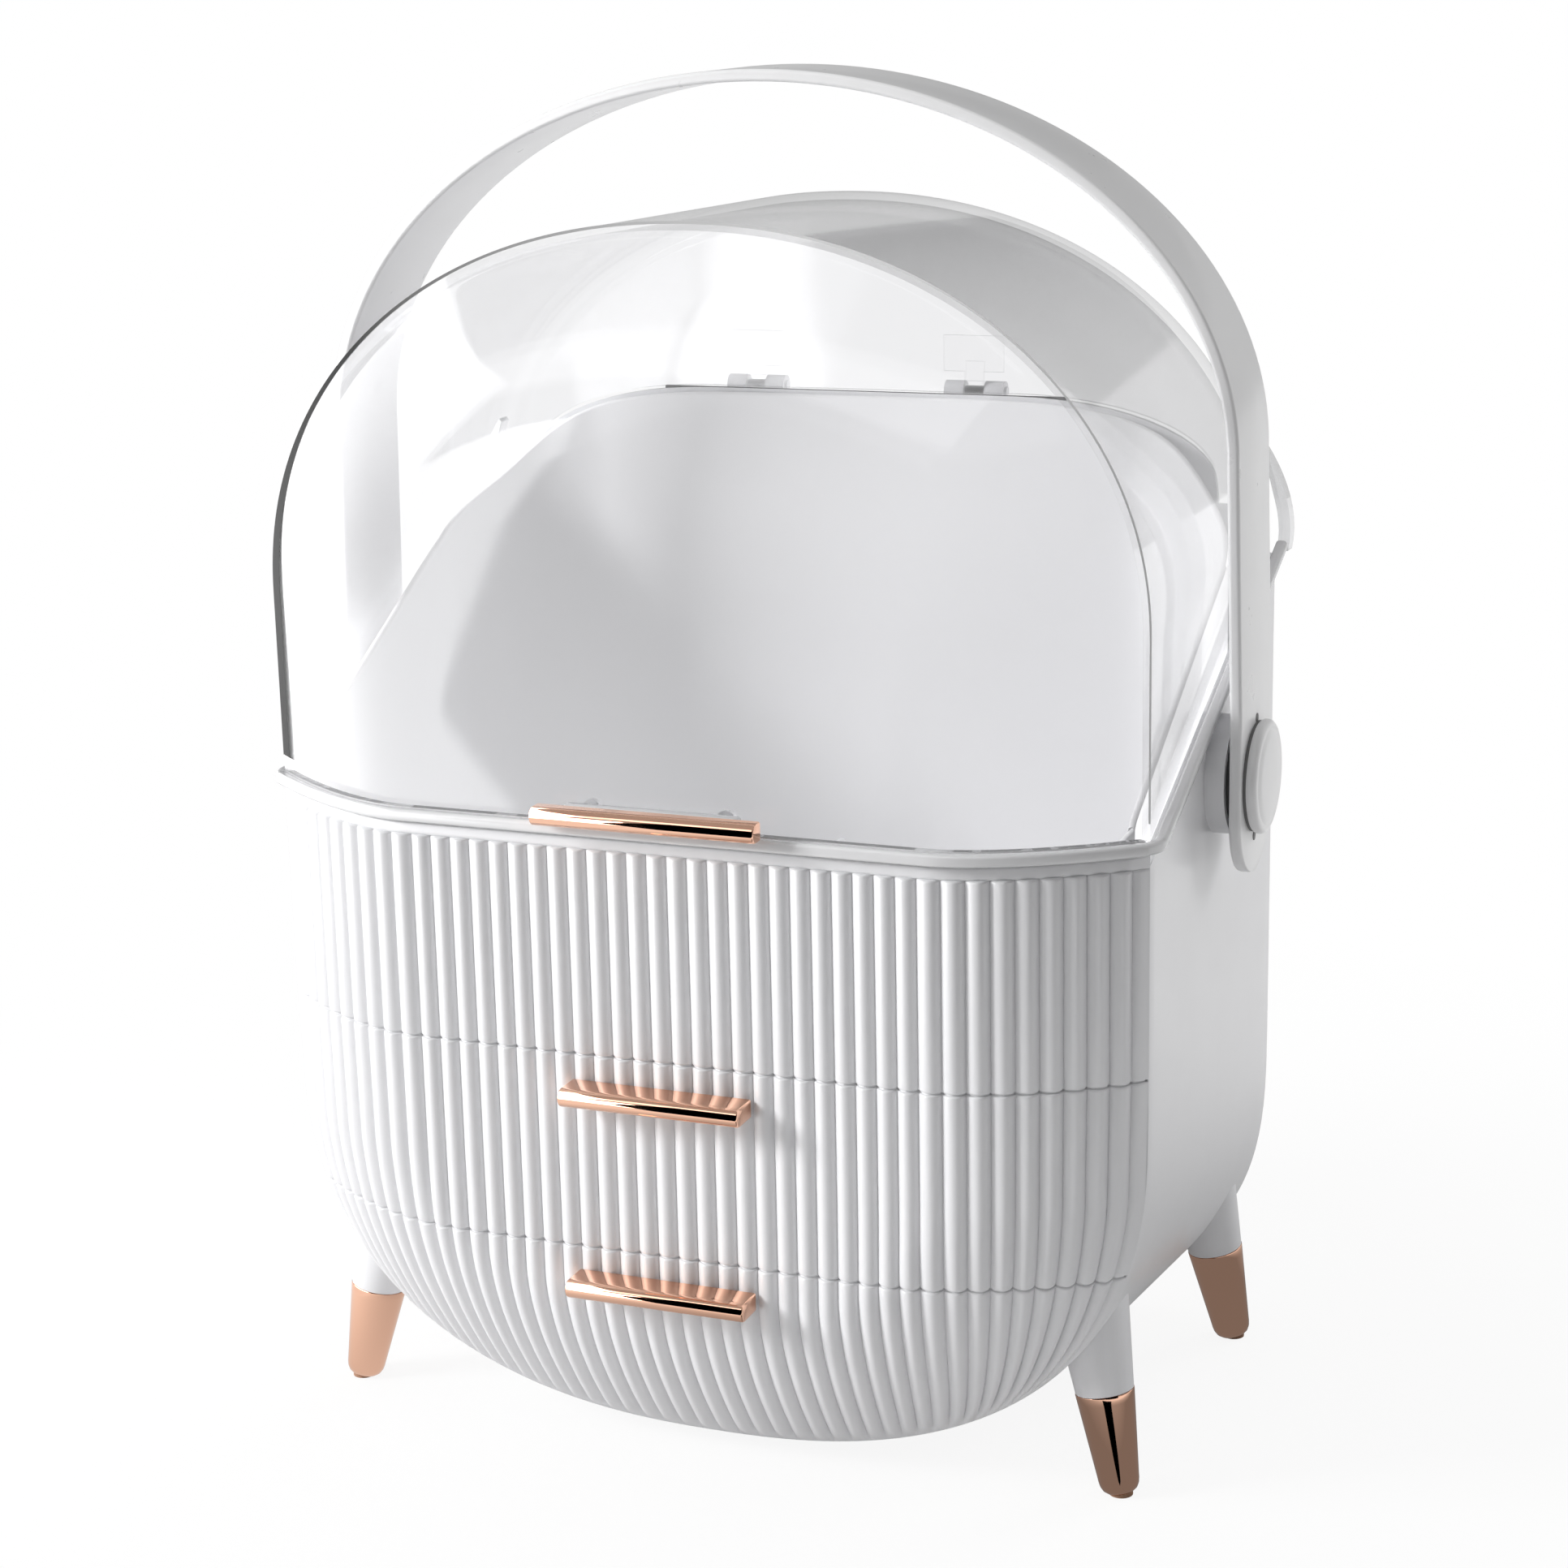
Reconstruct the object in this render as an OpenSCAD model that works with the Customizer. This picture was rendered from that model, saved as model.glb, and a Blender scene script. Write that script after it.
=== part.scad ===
// Dustproof makeup organizer: egg-shaped case on four splayed legs, two drawers,
// clear flip-up lid, and an arched carrying strap. Millimetres, +Z up, front is -Y.

/* [Case] */
// half width of the case and the lid
half_w = 131; // [110:160]
// front face at the valleys of the ribs
front_y = -79.7; // [-104:-66]
// depth of the rounded front cap, from the flat face back to the crease
cap_depth = 27.4; // [18:40]
// width over which the front cap rounds back from the flat face
cap_blend = 53; // [35:70]
// rear face of the case
rear_y = 86.3; // [74:124]
// wall of the case, the lid and the drawer fronts
wall = 2.6; // [2:4]
// lowest point of the belly above the floor, at the front crease
belly_z = 4.4; // [2:20]
// height where the lower curve of the egg starts, at the front crease
z_lo = 111; // [90:120]
// lowest point of the belly above the floor, at the rear
rear_belly_z = 2.5; // [2:20]
// height where the lower curve of the egg starts, at the rear
rear_lo_z = 99; // [80:120]
// height where the arch of the lid starts
z_hi = 248; // [220:280]
// top of the lid
lid_top_z = 355; // [330:400]

/* [Front] */
// top of the lower drawer front, the middle of its seam
seam_2_z = 70; // [55:85]
// top of the upper drawer front, the middle of its seam
seam_1_z = 127.5; // [115:140]
// top of the ribs on the fixed panel
rib_top_z = 187; // [170:200]
// top of the smooth sill band
sill_z = 190.6; // [188:205]
// half of the open seam between two fronts
seam_half = 0.45; // [0.3:0.8]
// pitch of the ribs on the flat front
rib_pitch = 6; // [4:8]
// height of a rib over its valley
rib_h = 2; // [0.8:2.5]

/* [Top compartment] */
// rise of the parting line per millimetre towards the back
split_slope = 0.43; // [0.3:0.6]
// height of the parting line at the front crease
split_z = 187.4; // [180:200]
// top face of the shelf that closes the top compartment below
bin_floor_z = 133; // [128:150]
// wall of the inner bin
bin_wall = 2; // [1.6:3]
// inner bin, in from the side of the case
bin_in = 4.6; // [4.2:20]
// radius of the rear corners of the inner bin
bin_corner_r = 42; // [20:60]
// top of the back panel
panel_top_z = 290.6; // [270:300]
// height of the dividers over the bin floor
divider_h = 24; // [10:40]

/* [Lid] */
// height of the lower edge of the clear cover at the front
lid_low_z = 194.6; // [190:200]
// how far the rim flange stands out of the case
rim_out = 3.4; // [2:5]
// thickness of the rim flange
rim_t = 3.6; // [2:5]
// wall of the clear cover
lid_wall = 2.4; // [2:4]
// hinge axis behind the back panel
hinge_y = 89.5; // [88.5:95]
// hinge axis height
hinge_z = 292.4; // [285:300]
// radius of a hinge knuckle
knuckle_r = 2.9; // [2.4:4]
// radius of a hinge pin
hinge_pin_r = 1.4; // [1:2]
// middle of each hinge off the centre
hinge_x = 36; // [20:60]
// half length of a hinge
hinge_half = 9.6; // [8:14]

// half width of the thumb tab
tab_half = 26; // [18:32]
// thickness of the thumb tab
tab_t = 5; // [3:7]
// height of the thumb tab
tab_h = 5.6; // [4:8]
// how far the rear band stands out of the back
band_out = 5.5; // [3:8]

/* [Pulls] */
// length of a drawer pull
pull_len = 54; // [40:80]
// length of the lid pull
lid_pull_len = 66; // [45:90]
// reach of a drawer pull in front of the ribs
pull_reach = 10.3; // [8:18]
// reach of the lid pull in front of its tab
lid_pull_reach = 5.5; // [5.5:9]
// height of a pull bar
pull_h = 5.4; // [4:8]
// height of the upper pull
pull_1_z = 117.6; // [105:120]
// height of the lower pull
pull_2_z = 60.6; // [50:64]
// height of the lid pull
lid_pull_z = 197.6; // [194:204]
// spacing of the pull screws from the centre
screw_x = 20; // [12:24]

/* [Drawers] */
// wall and floor of a drawer box
box_wall = 2; // [1.6:3]
// upper box, in from the side of the case
box_1_in = 13; // [11:30]
// rear end of both boxes
box_rear_y = 77.3; // [63:81]
// top and bottom of the upper box
box_1_top_z = 122; // [110:125]
// underside of the upper box
box_1_low_z = 71.5; // [71:80]
// top of the lower box
box_2_top_z = 66; // [58:67]
// underside of the lower box
box_2_low_z = 24; // [18:34]
// floor of the lower box, in from the side of the case
box_2_in = 55; // [54:70]
// flat rear plane of the screw bosses, where a box meets its front
land_y = -72.7; // [-75:-67]
// thickness of the shelf between the drawers
shelf_t = 2.4; // [2:4]

/* [Handle] */
// how far the outer face of the strap stands out of the case beside its pivot
strap_out = 10.8; // [9:16]
// how far the outer face of the arch stands out of the case
arch_out = 9; // [7:12]
// thickness of the strap
strap_t = 3.5; // [2.5:5]
// width of the strap
strap_w = 35.5; // [20:40]
// height where the straight legs end and the arch starts
arch_z = 287; // [270:300]
// rise of the arch over its legs, outside
arch_rise = 105.5; // [90:130]
// pivot of the strap along the depth
pivot_y = 19.9; // [4:34]
// pivot of the strap, height
pivot_z = 195.4; // [190:205]
// how far the strap reaches below its pivot
strap_tail = 27.8; // [22:34]
// radius of the pivot pin
pivot_r = 4; // [3:6]
// running clearance of the strap on its pin
pivot_clear = 0.08; // [0.04:0.1]
// radius of the boss on the case
boss_r = 17; // [12:19]
// radius of the round cap over the pivot
knob_r = 16; // [12:20]
// thickness of the round cap
knob_t = 4.3; // [3:7]
// air between the strap and its washer or cap
strap_air = 0.35; // [0.2:0.6]
// thickness of the pivot washer
washer_t = 1.2; // [0.8:2]

/* [Legs] */
// tip of a front leg, in from the side of the case
leg_in = 9.7; // [4:24]
// tip of a rear leg, in from the side of the case
leg_rear_in = 6.4; // [4:24]
// tip of a front leg, along the depth
leg_front_y = -43.3; // [-56:-36]
// tip of a rear leg, along the depth
leg_rear_y = 71.9; // [58:78]
// sideways splay of a leg in degrees
leg_splay = 10.6; // [0:16]
// splay of a leg along the depth in degrees
leg_rake = 4.6; // [0:10]
// height of the metal cap
leg_cap_h = 30.6; // [20:40]
// radius at the top of the metal cap
leg_cap_r = 8.5; // [6:11]
// radius at the tip of the metal cap
leg_tip_r = 5.8; // [4:8]
// height where the white leg ends inside the case curve
leg_h = 72; // [60:80]
// radius of the white leg at its top
leg_top_r = 12.3; // [9:16]
// radius of the foot pad
pad_r = 3.4; // [2.5:5]
// radius of the leg stud
stud_r = 2; // [1.5:3]

/* [Hidden] */
$fn = 64;
strap_half = half_w + strap_out;
arch_half = half_w + arch_out;
leg_x = half_w - leg_in;
leg_rear_x = half_w - leg_rear_in;
box_1_half = half_w - box_1_in;
box_2_half = half_w - box_2_in;
bin_half_w = half_w - bin_in;
n_lo = 2.4;
n_rear = 3.1;
n_hi = 2.1;
cap_pow = 1.64;
crease_y = front_y + cap_depth;
b_lo = z_lo - belly_z;
b_rear = rear_lo_z - rear_belly_z;
b_hi = lid_top_z - z_hi;
case_y = crease_y + 0.3;
fit = 0.2;
flat_t = 12.5;
corner_t = 9.8;
t_end = flat_t + corner_t;
flat_x = flat_t * rib_pitch;
corner_lin = (half_w - flat_x) / corner_t + 0.98;
in_half = half_w - wall;
screw_r = 1.45;

function clamp0(v) = max(0, v);
function n_of(z) = z < z_lo ? n_lo : n_hi;
function b_of(z) = z < z_lo ? b_lo : b_hi;
function dz_of(z) = z < z_lo ? z_lo - z : clamp0(z - z_hi);
// half width of the egg outline at a height, grown by g
function edge_x(z, g = 0) = let(n = n_of(z), q = dz_of(z) / (b_of(z) + g))
    q >= 1 ? 0 : (half_w + g) * pow(1 - pow(q, n), 1 / n);
// height of the lower or upper egg outline over a place across
function low_z(x, g = 0) = z_lo - (b_lo + g) * pow(clamp0(1 - pow(abs(x) / (half_w + g), n_lo)), 1 / n_lo);
function top_z(x, g = 0) = z_hi + (b_hi + g) * pow(clamp0(1 - pow(abs(x) / (half_w + g), n_hi)), 1 / n_hi);
// level of a point: 1 on the egg outline, smaller inside
function level(x, z) = let(n = n_of(z)) dz_of(z) <= 0 ? abs(x) / half_w :
    pow(pow(abs(x) / half_w, n) + pow(dz_of(z) / b_of(z), n), 1 / n);
// gradient of the level
function grad(x, z) = let(n = n_of(z), f = max(level(x, z), 0.02))
    dz_of(z) <= 0 ? [sign(x) / half_w, 0] :
    [sign(x) * pow(abs(x) / half_w, n - 1) / half_w * pow(f, 1 - n),
     (z < z_lo ? -1 : 1) * pow(dz_of(z) / b_of(z), n - 1) / b_of(z) * pow(f, 1 - n)];
// distance in from the egg outline
function inset(x, z) = let(g = norm(grad(x, z))) g < 1e-6 ? cap_blend : (1 - level(x, z)) / g;
function round_k(x, z) = clamp0(1 - clamp0(inset(x, z)) / cap_blend);
// front face of the rounded cap
function cap_y(x, z) = front_y + cap_depth * pow(round_k(x, z), cap_pow);
function cap_s(x, z) = cap_depth * cap_pow / cap_blend * pow(round_k(x, z), cap_pow - 1);
// outward normal of the cap
function cap_n(x, z) = let(g = grad(x, z), m = max(norm(g), 1e-6), s = cap_s(x, z), u = [g[0] / m * s, -1, g[1] / m * s])
    u / norm(u);
// place across of a rib coordinate: whole numbers are ridges, halves are valleys
function rib_x(t) = let(a = abs(t), k = a - flat_t) a <= flat_t ? t * rib_pitch :
    sign(t) * min(half_w, flat_x + k * (corner_lin - 0.1 * k));
function rib_rise(t) = rib_h * abs(cos(180 * t));
// a rib leans in with the belly
function col_x(t, z) = let(x = rib_x(t), q = abs(x) / half_w) x - sign(x) * (half_w - edge_x(z)) * pow(q, 4);
// lower end of a rib column on the crease
function col_end(t) = let(q = min(abs(rib_x(t)) / half_w, 0.9999),
    e = half_w * (q - pow(q, 4)) / (1 - pow(q, 4))) z_lo - b_lo * pow(clamp0(1 - pow(e / half_w, n_lo)), 1 / n_lo);

t_list = concat([-t_end], [for (i = [-89:89]) i / 4], [t_end]);

// point on the ribbed outside of a front
function out_pt(t, z, fade) = let(x = col_x(t, z), n = cap_n(x, z),
    r = rib_rise(t) * fade * min(1, clamp0(inset(x, z)) / 5))
    [x + n[0] * r, cap_y(x, z) + n[1] * r, z + n[2] * r * min(1, (z_lo - z) / 40 > 0 ? (z_lo - z) / 40 : 0)];
// point on the smooth inside of a front
function in_pt(t, z) = let(x = col_x(t, z), n = cap_n(x, z), k = sqrt(round_k(x, z)), g = grad(x, z),
    m = max(norm(g), 1e-6))
    [x - g[0] / m * wall * k, min(crease_y, cap_y(x, z) - n[1] * wall), z];

// closed shell from two grids of points, rows x columns
module grid_shell(outer, inner) {
    nr = len(outer);
    nc = len(outer[0]);
    m = nr * nc;
    pts = concat([for (r = outer) each r], [for (r = inner) each r]);
    polyhedron(points = pts, convexity = 8, faces = concat(
        [for (i = [0:nr - 2], j = [0:nc - 2]) let(a = i * nc + j, b = a + nc) each [[a, b + 1, b], [a, a + 1, b + 1]]],
        [for (i = [0:nr - 2], j = [0:nc - 2]) let(a = m + i * nc + j, b = a + nc) each [[a, b, b + 1], [a, b + 1, a + 1]]],
        [for (j = [0:nc - 2]) let(c = (nr - 1) * nc + j) each
            [[j, m + j + 1, j + 1], [j, m + j, m + j + 1], [c, m + c + 1, m + c], [c, c + 1, m + c + 1]]],
        [for (i = [0:nr - 2]) let(a = i * nc, b = a + nc, c = a + nc - 1, d = c + nc) each
            [[a, m + b, m + a], [a, b, m + b], [c, m + d, d], [c, m + c, m + d]]]));
}

// 2D shape in X and Z, drawn out from y0 to y1
module y_prism(y0, y1) translate([0, y1, 0]) rotate([90, 0, 0]) linear_extrude(y1 - y0) children();
// 2D shape in Y and Z, drawn out from x0 to x1
module x_prism(x0, x1) translate([x0, 0, 0]) rotate([90, 0, 90]) linear_extrude(x1 - x0) children();
// round bar along X
module x_rod(x0, x1, y, z, r) translate([x0, y, z]) rotate([0, 90, 0]) cylinder(r = r, h = x1 - x0);
// round bar along Y
module y_rod(y0, y1, x, z, r) translate([x, y1, z]) rotate([90, 0, 0]) cylinder(r = r, h = y1 - y0);
module both() { children(); mirror([1, 0, 0]) children(); }

low_steps = [for (i = [0:28]) 90 - i * 180 / 28];
function low_ring(g, z, b, n) = [for (a = low_steps)
    [(half_w + g) * sign(sin(a)) * pow(abs(sin(a)), 2 / n), z - (b + g) * pow(clamp0(cos(a)), 2 / n)]];
function top_ring(g, z0) = [for (i = [0:32]) let(a = -90 + i * 180 / 32)
    [(half_w + g) * sign(sin(a)) * pow(abs(sin(a)), 2 / n_hi), z_hi + (b_hi + g) * pow(clamp0(cos(a)), 2 / n_hi)]];
// body of the case below a height, grown by g, a little narrower at the front
module low_body(g, z1) hull() {
    y_prism(case_y - 1, case_y) polygon(concat([[half_w + g, z1]], low_ring(g, z_lo, b_lo, n_lo), [[-half_w - g, z1]]));
    y_prism(rear_y, rear_y + 1)
        polygon(concat([[half_w + g, z1]], low_ring(g, rear_lo_z, b_rear, n_rear), [[-half_w - g, z1]]));
}
// arch outline above a height, grown by g
module arch(g, z0) polygon(concat([[-half_w - g, z0]], top_ring(g, z0), [[half_w + g, z0]]));
function split_at(y) = split_z + split_slope * (y - crease_y);
// everything below the parting line, shifted by s
module below_split(s, y0, y1) x_prism(-half_w * 2, half_w * 2)
    polygon([[y0, -10], [y1, -10], [y1, split_at(y1) + s], [y0, split_at(y0) + s]]);
module above_split(s, y0, y1) x_prism(-half_w * 2, half_w * 2)
    polygon([[y0, 500], [y1, 500], [y1, split_at(y1) + s], [y0, split_at(y0) + s]]);

// back panel with round shoulders, in X and Z
shoulder_x = half_w - 19;
shoulder_flat = half_w - 81;
shoulder_z = panel_top_z - 23.6;
panel_out = 1;
lid_gap = 0.6;
rear_half = half_w - wall - lid_gap;
rear_top_z = z_hi + 13.4;
module panel_shape(g) polygon(concat(
    [[-shoulder_x - g, z_lo], [shoulder_x + g, z_lo]],
    [for (i = [0:10]) let(a = i * 9) [shoulder_flat + (shoulder_x + g - shoulder_flat) * cos(a),
        shoulder_z + (panel_top_z - shoulder_z + g) * sin(a)]],
    [for (i = [0:10]) let(a = 90 - i * 9) [-shoulder_flat - (shoulder_x + g - shoulder_flat) * cos(a),
        shoulder_z + (panel_top_z - shoulder_z + g) * sin(a)]]));

module housing() color([0.93, 0.93, 0.93]) difference() {
    union() {
        intersection() {
            low_body(0, rear_top_z + 1);
            below_split(0, case_y, rear_y);
        }
        y_prism(rear_y - wall, rear_y) panel_shape(panel_out);
        translate([-rear_half, rear_y - wall, z_lo]) cube([2 * rear_half, wall, rear_top_z - z_lo]);
    }
    intersection() {
        low_body(-wall, rear_top_z + 1);
        below_split(20, case_y - 1, rear_y - wall);
    }
    both() x_rod(in_half - 1, half_w + 1, pivot_y, pivot_z, pivot_r + 0.05);
}

// plan of the inner bin, grown by g
front_bin = front_y + wall + 3;
module bin_plan(g) polygon(concat(
    [for (i = [-20:20]) let(x = (bin_half_w + g) * sin(i * 4.5)) [x, min(crease_y, cap_y(x, 160)) + wall + 3 - g]],
    [for (i = [0:9]) let(a = i * 10) [bin_half_w - bin_corner_r + (bin_corner_r + g) * cos(a),
        rear_y - wall - fit - bin_corner_r + (bin_corner_r + g) * sin(a)]],
    [for (i = [0:9]) let(a = 90 + i * 10) [-bin_half_w + bin_corner_r + (bin_corner_r + g) * cos(a),
        rear_y - wall - fit - bin_corner_r + (bin_corner_r + g) * sin(a)]]));

bin_edge_z = split_z + 11.6;
bin_slope = 0.55;
module top_bin() color([0.96, 0.96, 0.96]) intersection() {
    difference() {
        translate([0, 0, bin_floor_z - bin_wall]) linear_extrude(panel_top_z - z_lo) bin_plan(0);
        translate([0, 0, bin_floor_z]) linear_extrude(panel_top_z - z_lo) bin_plan(-bin_wall);
    }
    union() {
        x_prism(-half_w, half_w) polygon([[front_y, z_lo], [rear_y, z_lo],
            [rear_y, bin_edge_z + bin_slope * (rear_y - crease_y - 2)],
            [crease_y + 2, bin_edge_z], [crease_y - 4, sill_z - 0.4], [front_y, sill_z - 0.4]]);
        y_prism(rear_y - bin_corner_r + 6, rear_y) panel_shape(0);
    }
}

module bin_divider() color([0.95, 0.95, 0.95]) {
    z0 = bin_floor_z + 0.1;
    translate([-bin_half_w + bin_wall + 0.4, 0, z0]) cube([2 * (bin_half_w - bin_wall - 0.4), 1.8, divider_h]);
    for (x = [-1, 0, 1]) translate([x * bin_half_w / 2 - 0.9, 1.8, z0]) cube([1.8, rear_y - bin_corner_r / 1.6, divider_h]);
    for (x = [-1, 1]) translate([x * bin_half_w / 4 - 0.9, front_y + 18, z0]) cube([1.8, -front_y - 18, divider_h]);
}

// ribbed outline in plan for the straight upper front
function rib_plan() = [for (t = t_list) let(p = out_pt(t, 150, 1)) [p[0], p[1]]];
function rib_plan_in() = [for (i = [len(t_list) - 1:-1:0]) let(p = in_pt(t_list[i], 150)) [p[0], p[1]]];
function plain_plan(g) = [for (i = [-24:24]) let(x = half_w * sin(i * 3.75), n = cap_n(x, 150))
    let(e = g > 0 ? g * min(1, clamp0(inset(x, 150)) / 5) : g) [x + n[0] * e, min(crease_y, cap_y(x, 150) + n[1] * e)]];

module front_panel() color([0.95, 0.95, 0.95]) difference() {
    union() {
        translate([0, 0, seam_1_z + seam_half]) linear_extrude(rib_top_z - seam_1_z - seam_half)
            polygon(concat(rib_plan(), rib_plan_in()));
        translate([0, 0, rib_top_z]) linear_extrude(sill_z - rib_top_z)
            polygon(concat(plain_plan(rib_h), [for (i = [48:-1:0]) plain_plan(-wall)[i]]));
        for (x = [-90, -30, 30, 90]) translate([x - 4, cap_y(x, 150) + 1, bin_floor_z + 6])
            cube([8, wall + 2 + cap_y(x + sign(x) * 4, 150) - cap_y(x, 150), 30]);
    }
    translate([0, 0, bin_floor_z - 3]) linear_extrude(panel_top_z - z_lo) bin_plan(0);
    translate([-half_w, crease_y - 0.1, split_z - 1]) cube([2 * half_w, 5, 20]);
}

module lower_shelf() color([0.9, 0.9, 0.9])
    intersection() {
        translate([-half_w, crease_y + 3, seam_2_z - shelf_t / 2]) cube([2 * half_w, rear_y - wall - crease_y - 3, shelf_t]);
        low_body(-wall - 0.02, z_hi);
    }

module upper_shelf() color([0.9, 0.9, 0.9])
    translate([-in_half, crease_y + 3, bin_floor_z - bin_wall - shelf_t])
        cube([2 * in_half, rear_y - wall - crease_y - 3, shelf_t]);

rail_h = 5;
rail_len = rear_y - crease_y - 20.6;
slide_gap = 0.3;
module drawer_rails() color([0.88, 0.88, 0.88]) both() {
    translate([box_1_half + 0.6, crease_y + 6, seam_2_z + shelf_t / 2]) cube([3, rail_len, rail_h]);
    translate([box_2_top_half + 0.8, crease_y + 6, seam_2_z - shelf_t / 2 - rail_h]) cube([3, rail_len, rail_h]);
    intersection() {
        translate([box_2_half - 20, crease_y + 6, 0]) cube([6, rail_len, box_2_low_z - slide_gap]);
        low_body(-wall - 0.02, z_hi);
    }
}

// drawer front between two heights; the lower one runs down to the crease
module drawer_front(z1, z0, rows, belly) {
    zz = function(t, i) belly ? z1 - (z1 - col_end(t)) * pow(i / rows, 0.8) : z1 - (z1 - z0) * i / rows;
    grid_shell([for (i = [0:rows]) [for (t = t_list) out_pt(t, zz(t, i), 1)]],
        [for (i = [0:rows]) [for (t = t_list) in_pt(t, zz(t, i))]]);
}

module front_bosses(z) for (x = [-screw_x, screw_x])
    y_rod(front_y + wall - 0.8, land_y, x, z, 5);

module screw_holes(z, y0, y1, r) for (x = [-screw_x, screw_x]) y_rod(y0, y1, x, z, r);

module drawer_1_front() color([0.95, 0.95, 0.95]) difference() {
    union() {
        drawer_front(seam_1_z - seam_half, seam_2_z + seam_half, 4, false);
        front_bosses(pull_1_z);
    }
    screw_holes(pull_1_z, front_y - 5, land_y + 1, screw_r + 0.15);
}

module drawer_2_front() color([0.95, 0.95, 0.95]) difference() {
    union() {
        drawer_front(seam_2_z - seam_half, 0, 11, true);
        front_bosses(pull_2_z);
    }
    screw_holes(pull_2_z, front_y - 5, land_y + 1, screw_r + 0.15);
}

// solid bar with a round nose
module pull(len, z, y_back, reach) {
    r = pull_h / 2;
    x_rod(-len / 2, len / 2, y_back - reach + r, z, r);
    translate([-len / 2, y_back - reach + r, z - r]) cube([len, reach - r, pull_h]);
}

module drawer_pull(z) difference() {
    pull(pull_len, z, front_y - rib_h - 0.05, pull_reach);
    screw_holes(z, front_y - rib_h - pull_reach * 0.6, front_y, screw_r);
}
module drawer_1_pull() color([0.85, 0.6, 0.48]) drawer_pull(pull_1_z);
module drawer_2_pull() color([0.85, 0.6, 0.48]) drawer_pull(pull_2_z);

module pull_screws(z) for (x = [-screw_x, screw_x]) {
    y_rod(front_y - rib_h - pull_reach * 0.56, land_y + box_wall + 0.1, x, z, screw_r);
    y_rod(land_y + box_wall, land_y + box_wall + 1.8, x, z, 2.8);
}
module drawer_1_screws() color([0.6, 0.6, 0.62]) pull_screws(pull_1_z);
module drawer_2_screws() color([0.6, 0.6, 0.62]) pull_screws(pull_2_z);

box_2_top_half = box_2_half + 20;
box_2_front_y = crease_y - 1.8;
nose_half = half_w - 81;
nose_low_z = box_2_top_z - 17;
function box_1_side(g) = [[box_1_half - 38, land_y + g], [box_1_half - 25 - g * 0.3, land_y + 3.3 + g],
    [box_1_half - 13 - g * 0.5, land_y + 9.9 + g], [box_1_half - g, land_y + 18.7 + g], [box_1_half - g, box_rear_y - g]];
module box_1_plan(g) polygon(concat(box_1_side(g), [for (i = [4:-1:0]) let(p = box_1_side(g)[i]) [-p[0], p[1]]]));
module drawer_1_box() color([0.96, 0.96, 0.96]) difference() {
    translate([0, 0, box_1_low_z]) linear_extrude(box_1_top_z - box_1_low_z) box_1_plan(0);
    translate([0, 0, box_1_low_z + box_wall]) linear_extrude(box_1_top_z - box_1_low_z) box_1_plan(box_wall);
    screw_holes(pull_1_z, land_y - 1, land_y + box_wall + 1, screw_r + 0.15);
}

module box_2_shape(g) polygon([[-box_2_half + g, box_2_low_z + g], [box_2_half - g, box_2_low_z + g],
    [box_2_top_half - g, box_2_top_z], [box_2_top_half - g, box_2_top_z + g * 5],
    [-box_2_top_half + g, box_2_top_z + g * 5], [-box_2_top_half + g, box_2_top_z]]);
module drawer_2_box() color([0.96, 0.96, 0.96]) difference() {
    union() {
        y_prism(box_2_front_y, box_rear_y) box_2_shape(0);
        translate([-nose_half, land_y, nose_low_z]) cube([2 * nose_half, box_2_front_y - land_y + 1, box_2_top_z - nose_low_z]);
    }
    y_prism(box_2_front_y + box_wall, box_rear_y - box_wall) box_2_shape(box_wall);
    translate([-nose_half + box_wall, land_y + box_wall, nose_low_z + box_wall])
        cube([2 * (nose_half - box_wall), box_2_front_y - land_y + 2, 40]);
    screw_holes(pull_2_z, land_y - 1, land_y + box_wall + 1, screw_r + 0.15);
}

// clear cover: arched roof with sides and back, and the rounded front cap
step_in = 0.3;
lid_cols = [for (i = [-22:22]) (half_w - step_in) * sin(i * 90 / 22)];
lid_rows = 14;
function lid_q(x) = half_w / (half_w - step_in) * x;
function lid_zz(x, i) = lid_low_z + (top_z(x, -step_in) - lid_low_z) * (1 - i / lid_rows);
function lid_y(x, z) = cap_y(lid_q(x), z > z_hi ? z_hi + (z - z_hi) * b_hi / (b_hi - step_in) : z);
module lid_cover() color([0.9, 0.94, 0.96, 0.35]) difference() {
    lid_shell();
    screw_holes(lid_pull_z, front_y - 20, front_y + 10, screw_r + 0.1);
}
module lid_shell() {
    intersection() {
        difference() {
            y_prism(crease_y - 0.05, rear_y) arch(0, 150);
            y_prism(crease_y - 1, rear_y - lid_wall) arch(-lid_wall, 140);
            y_prism(rear_y - lid_wall - 1, rear_y + 1) {
                panel_shape(panel_out + lid_gap);
                translate([-half_w + lid_wall, 140]) square([2 * (half_w - lid_wall), rear_top_z + lid_gap - 140]);
            }
        }
        above_split(0.5, crease_y - 1, rear_y + 1);
    }
    grid_shell([for (i = [0:lid_rows]) [for (x = lid_cols) let(z = lid_zz(x, i)) [x, lid_y(x, z), z]]],
        [for (i = [0:lid_rows]) [for (x = lid_cols) let(z = lid_zz(x, i), n = cap_n(x, z), g = grad(x, z),
            m = max(norm(g), 1e-6), k = sqrt(round_k(x, z)))
            [x - g[0] / m * lid_wall * k, min(crease_y, lid_y(x, z) - n[1] * lid_wall), z - g[1] / m * lid_wall * k]]]);
}

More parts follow.
